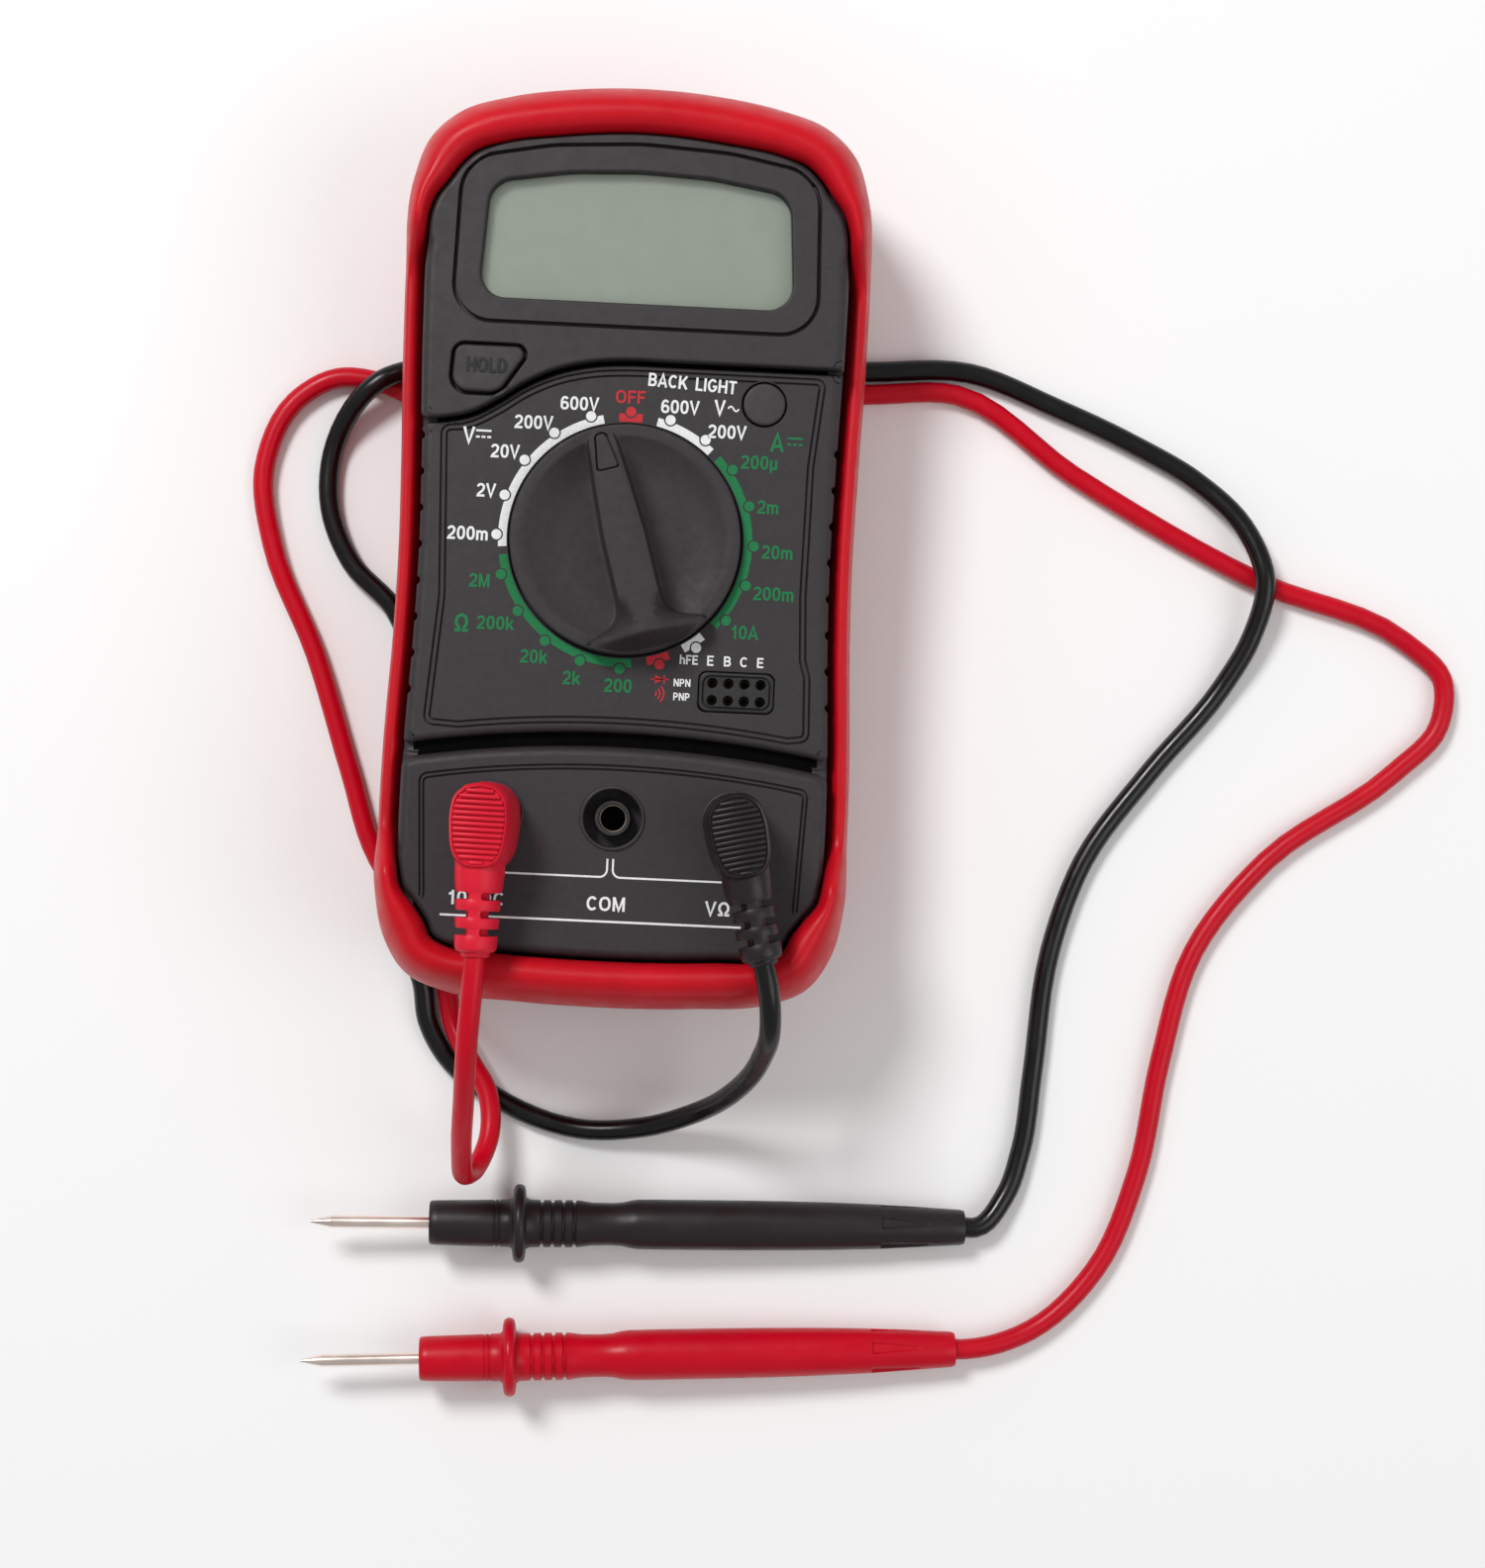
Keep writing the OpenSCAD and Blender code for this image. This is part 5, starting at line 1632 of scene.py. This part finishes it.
def thumb_ribs(shape):
    """Flat-topped ribs across the head, each as long as the thumb pad is wide there."""
    pad = inset(HEAD, 0.8)
    section = [(math.cos(a), math.sin(a)) for a in full_turn(16)]
    section = [tuple(w * math.copysign(abs(c) ** 0.6, c) for w, c in zip(RIB_HALF, p)) for p in section]
    for k in range(RIBS):
        y = RIB_FIRST - k * RIB_PITCH
        half = min(ray_hit(Vector((0, y + d)), Vector((1, y + d)), pad).x for d in (-0.3, 0.3))
        ends = [(half, 0.3), (half - 0.1, 0.8), (half - 0.3, 1)]
        shape.tube([
            [(x, y + size * a, PAD_TOP - 0.25 + size * b) for a, b in section]
            for x, size in [(-x, size) for x, size in ends] + ends[::-1]
        ])


def plug(name, lead):
    """A moulded plug, standing in its jack and leaning a little."""
    shape = Shape()
    shape.tube([[(*p, z) for p in inset(HEAD, d)] for d, z in HEAD_SIDE])
    thumb_ribs(shape)
    strain_relief(shape)
    shape.lathe(STEM_PROFILE, 48)
    lean = lead["lean"]
    shape.verts = [(x + lean * max(0.0, z - JACK_PANEL_Z), y, z) for x, y, z in shape.verts]
    # Turned back so that the leaning plug still meets its lead
    back = Matrix.Rotation(-lean * (PLUG_Z - JACK_PANEL_Z) / PLUG_LEN, 4, "Z")
    placed = Shape().add(shape, plug_frame(lead) @ back)
    return piece(name + "_plug_body", placed, name + "_grip", "meter",
                 replaces=[name + "_plug"], crease=45)


# ---- probes

SPLIT_X = 10.0
# Profiles along a probe's handle, as (radius, place): the guard's near side is mirrored from its far side
GUARD = [(3.95, 1.7), (4.3, 1.15), (5.6, 1.0), (6.1, 0.85), (6.42, 0.45), (6.5, 0)]
NOSE = [
    (0, -GUARD_X), (1.2, -GUARD_X), (3.35, -14.9), (3.62, -14.6), (3.7, -13.5), (3.86, -4.6), (3.86, -4.3),
    (3.72, -4.2), (3.72, -4.0), (3.88, -3.9), (3.88, -3.5), (3.72, -3.4), (3.72, -3.2), (3.9, -3.1),
    (3.95, -1.6), *[(r, -x) for r, x in GUARD[1:]], *GUARD[-2::-1], (3.9, 3.1),
]
GRIP = [
    (3.55, 12.2), (3.5, 15.5), (3.62, 17.2), (3.95, 18.6), (4.1, 19.8), (4.15, 24), (4.15, 34), (4.08, 44),
    (3.95, 52), (3.7, 60), (3.35, 67), (3.05, 72), (2.95, 73.9), (2.75, TAIL_X), (0, TAIL_X),
]
# Where the ring grooves behind the guard start, and the profile of one
RING_GROOVES = (3.4, 5.2, 7.0, 8.8)
GROOVE = [(3.9, 0), (3.55, 0.12), (3.45, 0.35), (3.55, 0.58), (3.9, 0.7)]
GRIP_SIDES = 132
# The tapering recesses at the cord end: from where to where, and their places round the handle
WEDGE = (60.4, 68.6)
WEDGE_TURNS = [math.radians(19 + 72 * k) for k in range(5)]


def wedge_depth(x, angle, r):
    """Depth of the recesses at a place and an angle, where the handle's radius is r."""
    share = (x - WEDGE[0]) / (WEDGE[1] - WEDGE[0])
    if not 0 <= share <= 1:
        return 0.0
    half = mix(0.95, 0.12, share)
    away = min(abs(math.remainder(angle - turn, 2 * math.pi)) * r for turn in WEDGE_TURNS)
    return mix(0.5, 0.15, share) * (1 - smooth(away, half - 0.1, half + 0.2))


def probe_nose():
    """The handle's front, from the needle over the guard and the ring grooves."""
    shape = Shape()
    grooves = [(r, start + x) for start in RING_GROOVES for r, x in GROOVE]
    shape.lathe(NOSE + grooves + [(3.85, SPLIT_X), (0, SPLIT_X)], 56)
    return shape


def probe_grip():
    """The handle's long grip, with its recesses at the cord end."""
    shape = Shape()
    stations = [(SPLIT_X, 3.85)]
    for (r0, x0), (r1, x1) in zip(GRIP[:-1], GRIP[1:-1]):
        steps = 12 if WEDGE[0] - 1 < (x0 + x1) / 2 < WEDGE[1] + 2 else 1
        stations += [(mix(x0, x1, k / steps), mix(r0, r1, k / steps)) for k in range(steps)]
    for x in (WEDGE[0] - 0.02, WEDGE[0] + 0.02):
        stations.append((x, between([(place, r) for r, place in GRIP], x)))
    stations.append((GRIP[-2][1], GRIP[-2][0]))
    turns = full_turn(GRIP_SIDES)
    rings = []
    for x, r in sorted(stations):
        depths = [wedge_depth(x, a, r) for a in turns]
        rings.append([((r - d) * math.cos(a), (r - d) * math.sin(a), x) for a, d in zip(turns, depths)])
    shape.tube(rings)
    return shape


def probe(name, lead):
    """A probe's handle in two pieces, lying on the table."""
    along = probe_frame(lead) @ Matrix.Rotation(math.pi / 2, 4, "Y")
    look, slot = lead["probe_look"], name + "_pvc"
    piece(name + "_probe_nose", Shape().add(probe_nose(), along), look, "meter", crease=40)
    return piece(name + "_probe_grip", Shape().add(probe_grip(), along), look, "meter",
                 replaces=[name + "_probe_handle"], crease=40)


for lead_name, lead_facts in LEADS.items():
    lead_plug = plug(lead_name, lead_facts)
    lead_grip = probe(lead_name, lead_facts)
    lead_cord(lead_name, lead_facts)
